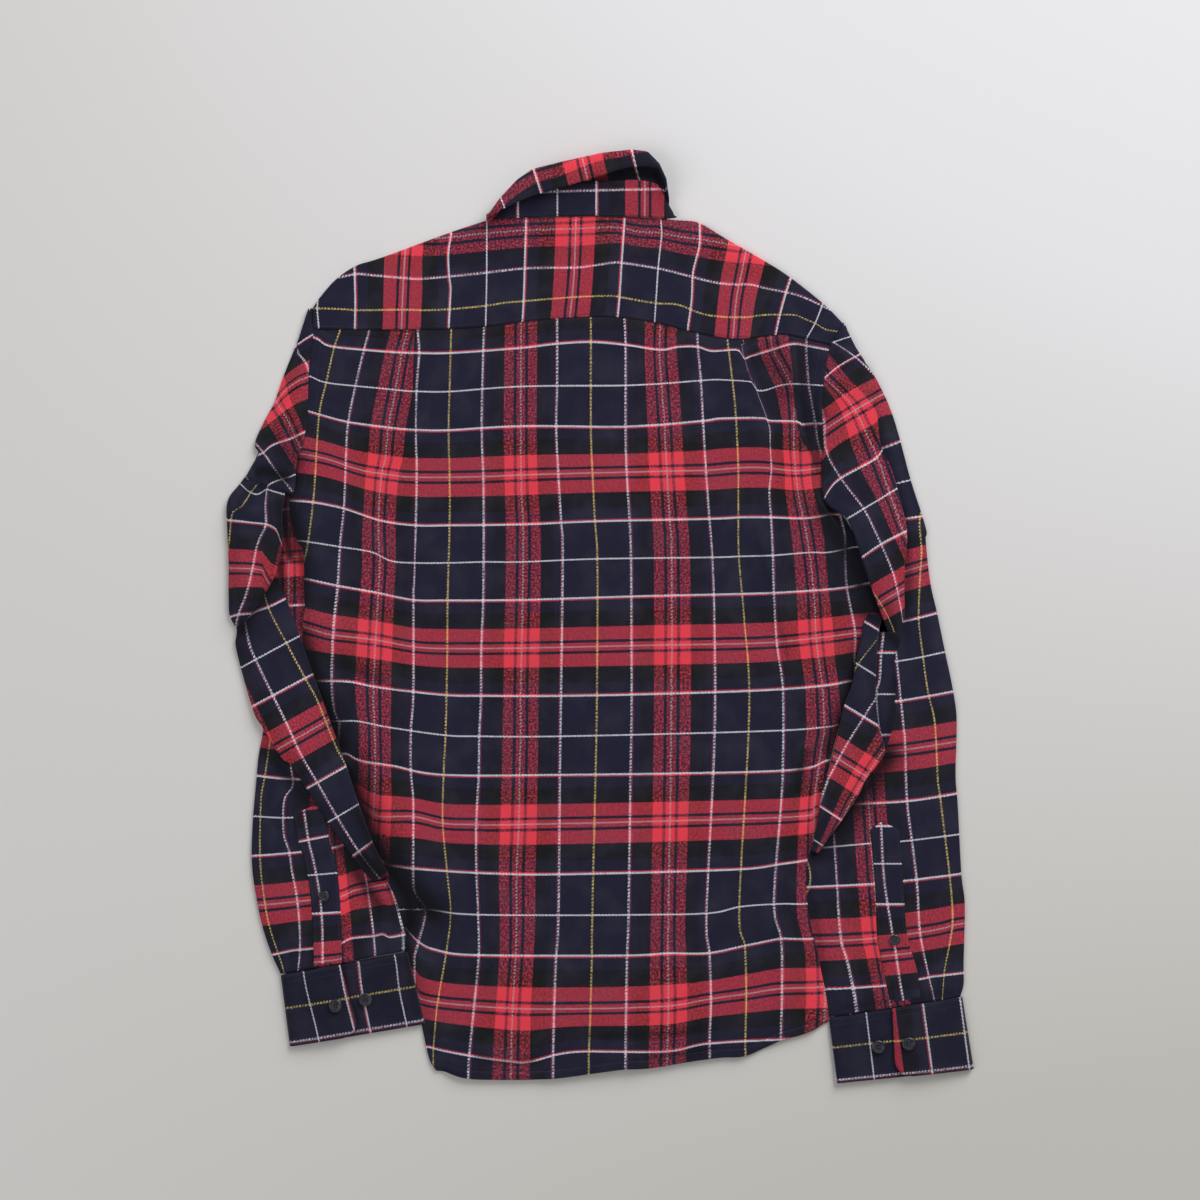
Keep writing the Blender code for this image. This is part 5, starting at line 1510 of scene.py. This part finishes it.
def select_top(made):
    """Selects the highest face of a mesh in edit mode, and nothing else."""
    bpy.ops.mesh.select_mode(type="FACE")
    bpy.ops.mesh.select_all(action="DESELECT")
    work = bmesh.from_edit_mesh(made.data)
    max(work.faces, key=lambda face: face.calc_center_median().z).select = True
    bmesh.update_edit_mesh(made.data)


# A button's turned side from the rim inwards: share of the radius, and of the height
BUTTON_TURNING = ((0.05, 0.13), (0.08, 0.07), (0.13, -0.02), (0.06, -0.16), (0.08, -0.06))
BUTTON_SIDES, BUTTON_RIM, BUTTON_CORNER = 40, 0.8, math.radians(32)
HOLES, HOLE_RING, HOLE, HOLE_SIDES = 4, 0.27, 0.105, 12


def model_button():
    """One button, of radius 1 and height 1: a rounded rim, a dished middle and four holes."""
    bpy.ops.mesh.primitive_cylinder_add(vertices=BUTTON_SIDES, radius=1, depth=BUTTON_RIM,
                                        location=(0, 0, BUTTON_RIM / 2))
    button = bpy.context.object
    bpy.ops.object.transform_apply(location=True, rotation=True, scale=True)
    bpy.ops.object.mode_set(mode="EDIT")
    select_top(button)
    for inset, step in BUTTON_TURNING:
        bpy.ops.mesh.inset(thickness=inset, depth=step)
    bpy.ops.object.mode_set(mode="OBJECT")
    for k in range(HOLES):
        angle = math.pi / 4 + k * math.pi / 2
        place = (HOLE_RING * math.cos(angle), HOLE_RING * math.sin(angle), 0.5)
        bpy.ops.mesh.primitive_cylinder_add(vertices=HOLE_SIDES, radius=HOLE, depth=3, location=place)
        drill = bpy.context.object
        cut = button.modifiers.new("hole", "BOOLEAN")
        cut.operation, cut.solver, cut.object = "DIFFERENCE", "EXACT", drill
        apply_modifiers(button)
        bpy.data.objects.remove(drill, do_unlink=True)
    button.select_set(True)
    bpy.context.view_layer.objects.active = button
    bpy.ops.object.shade_smooth_by_angle(angle=BUTTON_CORNER)
    button.select_set(False)
    return button


def build_buttons():
    """The buttons are copies of one that is turned and drilled, each of its node's size."""
    model = model_button()
    for node in sorted(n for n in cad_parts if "button" in n):
        low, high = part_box(node)
        radius, height = (high.x - low.x) / 2, high.z - low.z
        mesh = model.data.copy()
        mesh.transform(Matrix.Translation(((low.x + high.x) / 2, (low.y + high.y) / 2, low.z))
                       @ Matrix.Diagonal((radius, radius, height, 1)))
        finish(placed(node + "_turned", mesh), plastic(), "buttons", node)
    bpy.data.objects.remove(model, do_unlink=True)


def along(line, inset=0.0):
    """A line's points every millimetre, moved to its left by the inset (mm)."""
    total = sum(math.dist(a, b) for a, b in zip(line, line[1:]))
    p = spline(line, max(4, int(total) + 1))
    d = np.gradient(p, axis=0)
    d /= np.maximum(np.linalg.norm(d, axis=1, keepdims=True), 1e-6)
    return p + inset * np.column_stack([-d[:, 1], d[:, 0]])


STITCH_WIDE, STITCH_PROUD, STITCH_SUNK = 0.34, 0.2, 0.22  # its width, its height at the middle, its root (mm)
STITCH_END = (0.6, 0.02)  # share of the width, and height (mm)
# A stitch's faces, on three rings of four corners
STITCH_FACES = [(k + i, k + (i + 1) % 4, k + 4 + (i + 1) % 4, k + 4 + i) for k in (0, 4) for i in range(4)]
STITCH_FACES += [(3, 2, 1, 0), (8, 9, 10, 11)]


def one_stitch(a, b):
    """The corners of a thread from one place to another, thickest at its middle."""
    side = np.array((a[1] - b[1], b[0] - a[0], 0.0)) / max(np.linalg.norm(b[:2] - a[:2]), 1e-6) * STITCH_WIDE / 2
    corners = []
    for place, breadth, top in ((a, *STITCH_END), ((a + b) / 2, 1.0, STITCH_PROUD), (b, *STITCH_END)):
        up, down = np.array((0, 0, top)), np.array((0, 0, -STITCH_SUNK))
        corners += [place - side * breadth + down, place + side * breadth + down,
                    place + side * breadth * 0.7 + up, place - side * breadth * 0.7 + up]
    return corners


def sew(name, rows, cover):
    """Rows of machine stitches on what lies on top: each row is (piece, its points in mm)."""
    tree, owner = cover
    stitch, gap = size("stitch"), size("stitch_gap")
    verts, faces = [], []
    for piece, line in rows:
        p = np.array(line, float)
        reach = np.concatenate([[0], np.cumsum(np.linalg.norm(np.diff(p, axis=0), axis=1))])
        for start in np.arange(0, reach[-1] - stitch, stitch + gap):
            ends = []
            for t in (start, start + stitch):
                x, y = np.interp(t, reach, p[:, 0]), np.interp(t, reach, p[:, 1])
                hit = top_at(tree, x, y)
                if hit[0] is not None and owner[hit[2]] == piece:
                    ends.append(np.array((x, y, hit[0].z / MM)))
            if len(ends) < 2 or abs(ends[0][2] - ends[1][2]) > stitch:
                continue
            faces += [[len(verts) + i for i in face] for face in STITCH_FACES]
            verts += one_stitch(*ends)
    mesh = bpy.data.meshes.new(name)
    mesh.from_pydata([tuple(v * MM) for v in verts], [], faces)
    made = placed(name, mesh)
    bpy.context.view_layer.objects.active = made
    made.select_set(True)
    bpy.ops.object.mode_set(mode="EDIT")
    bpy.ops.mesh.select_all(action="SELECT")
    bpy.ops.mesh.normals_make_consistent(inside=False)
    bpy.ops.object.mode_set(mode="OBJECT")
    made.select_set(False)
    mesh.shade_smooth()
    finish(made, thread(), "flannel")


SEWN_PIECES = (
    "back_panel", "yoke_panel", "cuff_left_band", "cuff_right_band", "sleeve_placket_left_strip",
    "sleeve_placket_right_strip", "collar_stand_band", "collar_leaf_cloth", "sleeve_left_strip",
    "sleeve_left_fold", "sleeve_left_upper", "sleeve_right_flap", "sleeve_right_upper",
)
# Where the rows run (mm): below the yoke's seam, inside the armholes, from a cuff's seam and its hem, inside a
# placket's edges, below its tip, above the leaf's free edge, and above the neck's seam
SEAM_ROW, ARMHOLE_ROW, CUFF_ROWS, CUFF_HEM_ROW, PLACKET_ROW = 1.6, 8.0, (1.8, 7.0), 5.5, 1.7
TIP_ROWS, LEAF_ROW, NECK_ROW = (30.0, 33.0), 4.5, 2.4


def cuff_rows(band, corners):
    """Two rows below a cuff's seam, one above its hem, and one down its free end."""
    seam_in, seam_out, hem_in, hem_out = (np.array(c, float) for c in corners[:4])
    share_seam, share_hem = corners[4:6]
    to_hem = (hem_in - seam_in) / np.linalg.norm(hem_in - seam_in)
    out = (seam_out - seam_in) / np.linalg.norm(seam_out - seam_in)
    rows = [(band, along([seam_in + down * to_hem + 2 * out, seam_out + down * to_hem - 2 * out]))
            for down in CUFF_ROWS]
    rows.append((band, along([hem_in - CUFF_HEM_ROW * to_hem + 2 * out, hem_out - CUFF_HEM_ROW * to_hem - 2 * out])))
    rows.append((band, along([
        seam_in + (seam_out - seam_in) * share_seam + out * 3.0 + to_hem * 2,
        hem_in + (hem_out - hem_in) * (share_hem + 0.02) + out * 3.0 - to_hem * 20])))
    return rows


def placket_rows(strip, edges, tip):
    """A row inside each edge of a sleeve placket, and two across it below its point."""
    inner, outer = (np.array(edge, float) for edge in edges)
    middle = (inner[-1] + outer[-1]) / 2
    rows = []
    for edge in (inner, outer):
        inwards = np.sign(x_at([tip, middle], edge[:, 1]) - edge[:, 0])
        rows.append((strip, along([tuple(q) for q in edge + PLACKET_ROW * inwards[:, None] * (1, 0)])))
    for down in TIP_ROWS:
        y = tip[1] - down
        ends = [x_at(edge, y) for edge in (inner, outer)]
        rows.append((strip, along([(min(ends) + 2, y), (max(ends) - 2, y)])))
    return rows


def build_stitches():
    """Rows of stitches: yoke seam, armholes, hem, cuffs, sleeve plackets and collar."""
    cover = tree_of([bpy.data.objects[name] for name in SEWN_PIECES])
    sew("body_stitches", [
        ("yoke_panel", along(YOKE_SEAM, SEAM_ROW)), ("back_panel", along(HEM, HEM_DEEP)),
        ("back_panel", along(BODY_LEFT[:8], ARMHOLE_ROW)), ("back_panel", along(BODY_RIGHT[:9], -ARMHOLE_ROW)),
    ], cover)
    sew("cuff_stitches", cuff_rows("cuff_left_band", CUFF_LEFT) + cuff_rows("cuff_right_band", CUFF_RIGHT), cover)
    sew("placket_stitches", placket_rows("sleeve_placket_left_strip", PLACKET_LEFT, PLACKET_LEFT_TIP)
        + placket_rows("sleeve_placket_right_strip", PLACKET_RIGHT, PLACKET_RIGHT_TIP), cover)
    free = [(x, y + LEAF_ROW) for x, _, _, y in COLLAR[1:-1]]
    seam = [(x, y_at(YOKE_TOP, x) + NECK_ROW) for x in range(-84, 56, 10)]
    sew("collar_stitches", [("collar_leaf_cloth", along(free)), ("collar_stand_band", along(seam))], cover)


FLOOR_SIZE = 6  # metres
# The floor's painted light, from darker to lighter
FLOOR_PAINTED_LIGHT = [(0.2, (0.62, 0.60, 0.56, 1)), (0.8, (0.80, 0.79, 0.81, 1))]
LENS, SENSOR = 90.0, 36.0
LIGHTS = (("key", (1.7, 2.7, 2.1), 2.4, 124), ("fill", (-2.2, -0.6, 2.4), 2.5, 30))  # name, place, size, watts
SKY = 0.28  # how bright the white all round is


def build_floor():
    bpy.ops.mesh.primitive_plane_add(size=FLOOR_SIZE, location=(0, 0, 0))
    floor = bpy.context.object
    floor.name = "floor"
    s = Shader("floor")
    x, y = s.node("SeparateXYZ", None, {0: s.node("TexCoord", None, None, "Object")}, "X", "Y")
    # Painted light: the floor's colour is painted lighter towards the top, lightest at the top right and darkest at the
    # bottom right, as light that falls off across it
    s.into("Base Color", s.ramp(y * 0.5 + x * 0.1 + x * y * 0.8 + 0.5, FLOOR_PAINTED_LIGHT)[0])
    s.even({"Roughness": 0.9})
    floor.data.materials.append(s.material)


def build_camera():
    """Straight above the chart's middle, and as far off as shows all of it."""
    middle = CHART_SIZE / 2
    data = bpy.data.cameras.new("camera")
    data.lens, data.sensor_width = LENS, SENSOR
    camera = placed("camera", data)
    camera.location = (Vector((*off_chart([(middle, middle)])[0], 0)) * MM
                       + Vector((0, 0, CHART_SIZE * CHART * MM * LENS / SENSOR)))
    bpy.context.scene.camera = camera


def build_lights():
    for name, place, wide, power in LIGHTS:
        light = bpy.data.lights.new(name, "AREA")
        light.size, light.energy = wide, power
        lamp = placed(name, light)
        lamp.location = place
        lamp.rotation_euler = (-Vector(place)).to_track_quat("-Z", "Y").to_euler()
    world = bpy.data.worlds.new("world")
    world.use_nodes = True
    sky = world.node_tree.nodes["Background"]
    sky.inputs[0].default_value = (1, 1, 1, 1)
    sky.inputs[1].default_value = SKY
    bpy.context.scene.world = world
    bpy.context.scene.view_settings.view_transform = "Standard"


# --- Operators ---


class AddFronts(bpy.types.Operator):
    """Adds the two fronts and the button band, which lie underneath"""

    bl_idname = "shirt.add_fronts"
    bl_label = "Fronts and button band"

    def execute(self, context):
        build_fronts()
        return {"FINISHED"}


class AddBack(bpy.types.Operator):
    """Adds the back, with its pleats, its sides turned under and its hem"""

    bl_idname = "shirt.add_back"
    bl_label = "Back"

    def execute(self, context):
        build_back()
        return {"FINISHED"}


class AddYoke(bpy.types.Operator):
    """Adds the yoke over both shoulders, cut across the cloth"""

    bl_idname = "shirt.add_yoke"
    bl_label = "Yoke"

    def execute(self, context):
        build_yoke()
        return {"FINISHED"}


class AddSleeves(bpy.types.Operator):
    """Adds both sleeves, in the folds that they lie in"""

    bl_idname = "shirt.add_sleeves"
    bl_label = "Sleeves"

    def execute(self, context):
        for side in ("right", "left"):
            build_sleeve(side)
        return {"FINISHED"}


class AddCuffs(bpy.types.Operator):
    """Adds both cuffs, buttoned"""

    bl_idname = "shirt.add_cuffs"
    bl_label = "Cuffs"

    def execute(self, context):
        build_cuff("left", CUFF_LEFT, Weave(CUFF_LEFT_DOWN, CUFF_LEFT_ACROSS, turned=True, folds=[
            (-47, 47, [(348, 966), (354, 1035)], 2000, 2100)]))
        build_cuff("right", CUFF_RIGHT, Weave(CUFF_RIGHT_DOWN, CUFF_RIGHT_ACROSS, turned=True, folds=[
            (-85, 47, [(892, 1009), (905, 1075)], 2000, 2100)]))
        return {"FINISHED"}


class AddPlackets(bpy.types.Operator):
    """Adds the pointed strips over the sleeves' slits"""

    bl_idname = "shirt.add_plackets"
    bl_label = "Sleeve plackets"

    def execute(self, context):
        build_placket("left", PLACKET_LEFT, Weave(PLACKET_LEFT_DOWN, PLACKET_LEFT_ACROSS), PLACKET_LEFT_TIP)
        build_placket("right", PLACKET_RIGHT, Weave(PLACKET_RIGHT_DOWN, PLACKET_RIGHT_ACROSS), PLACKET_RIGHT_TIP)
        return {"FINISHED"}


class AddCollar(bpy.types.Operator):
    """Adds the collar's stand and its leaf, folded over it"""

    bl_idname = "shirt.add_collar"
    bl_label = "Collar"

    def execute(self, context):
        build_stand()
        build_leaf()
        return {"FINISHED"}


class AddButtons(bpy.types.Operator):
    """Adds the buttons of the cuffs, the sleeve plackets and the front"""

    bl_idname = "shirt.add_buttons"
    bl_label = "Buttons"

    def execute(self, context):
        build_buttons()
        return {"FINISHED"}


class AddStitches(bpy.types.Operator):
    """Adds the rows of machine stitches, once the pieces that they hold are made"""

    bl_idname = "shirt.add_stitches"
    bl_label = "Stitches"

    def execute(self, context):
        build_stitches()
        return {"FINISHED"}


class AddStage(bpy.types.Operator):
    """Adds the pale floor, the lights and the camera"""

    bl_idname = "shirt.add_stage"
    bl_label = "Floor, lights and camera"

    def execute(self, context):
        build_floor()
        build_camera()
        build_lights()
        return {"FINISHED"}


PIECES = (AddFronts, AddBack, AddYoke, AddSleeves, AddCuffs, AddPlackets, AddCollar, AddButtons, AddStitches, AddStage)


class VIEW3D_PT_flannel_shirt(bpy.types.Panel):
    """The shirt's settings and its pieces."""

    bl_label = "Flannel Shirt"
    bl_space_type = "VIEW_3D"
    bl_region_type = "UI"
    bl_category = "Shirt"

    def draw(self, context):
        for name in ShirtSettings.__annotations__:
            self.layout.prop(context.scene.flannel_shirt, name)
        for piece in PIECES:
            self.layout.operator(piece.bl_idname)


def register():
    for made in (ShirtSettings, *PIECES, VIEW3D_PT_flannel_shirt):
        bpy.utils.register_class(made)
    bpy.types.Scene.flannel_shirt = bpy.props.PointerProperty(type=ShirtSettings)


def unregister():
    del bpy.types.Scene.flannel_shirt
    for made in (VIEW3D_PT_flannel_shirt, *reversed(PIECES), ShirtSettings):
        bpy.utils.unregister_class(made)


def main():
    register()
    bpy.ops.object.select_all(action="DESELECT")
    bpy.ops.shirt.add_fronts()
    bpy.ops.shirt.add_back()
    bpy.ops.shirt.add_yoke()
    bpy.ops.shirt.add_sleeves()
    bpy.ops.shirt.add_cuffs()
    bpy.ops.shirt.add_plackets()
    bpy.ops.shirt.add_collar()
    bpy.ops.shirt.add_buttons()
    bpy.ops.shirt.add_stitches()
    bpy.ops.shirt.add_stage()


if __name__ == "__main__":
    main()
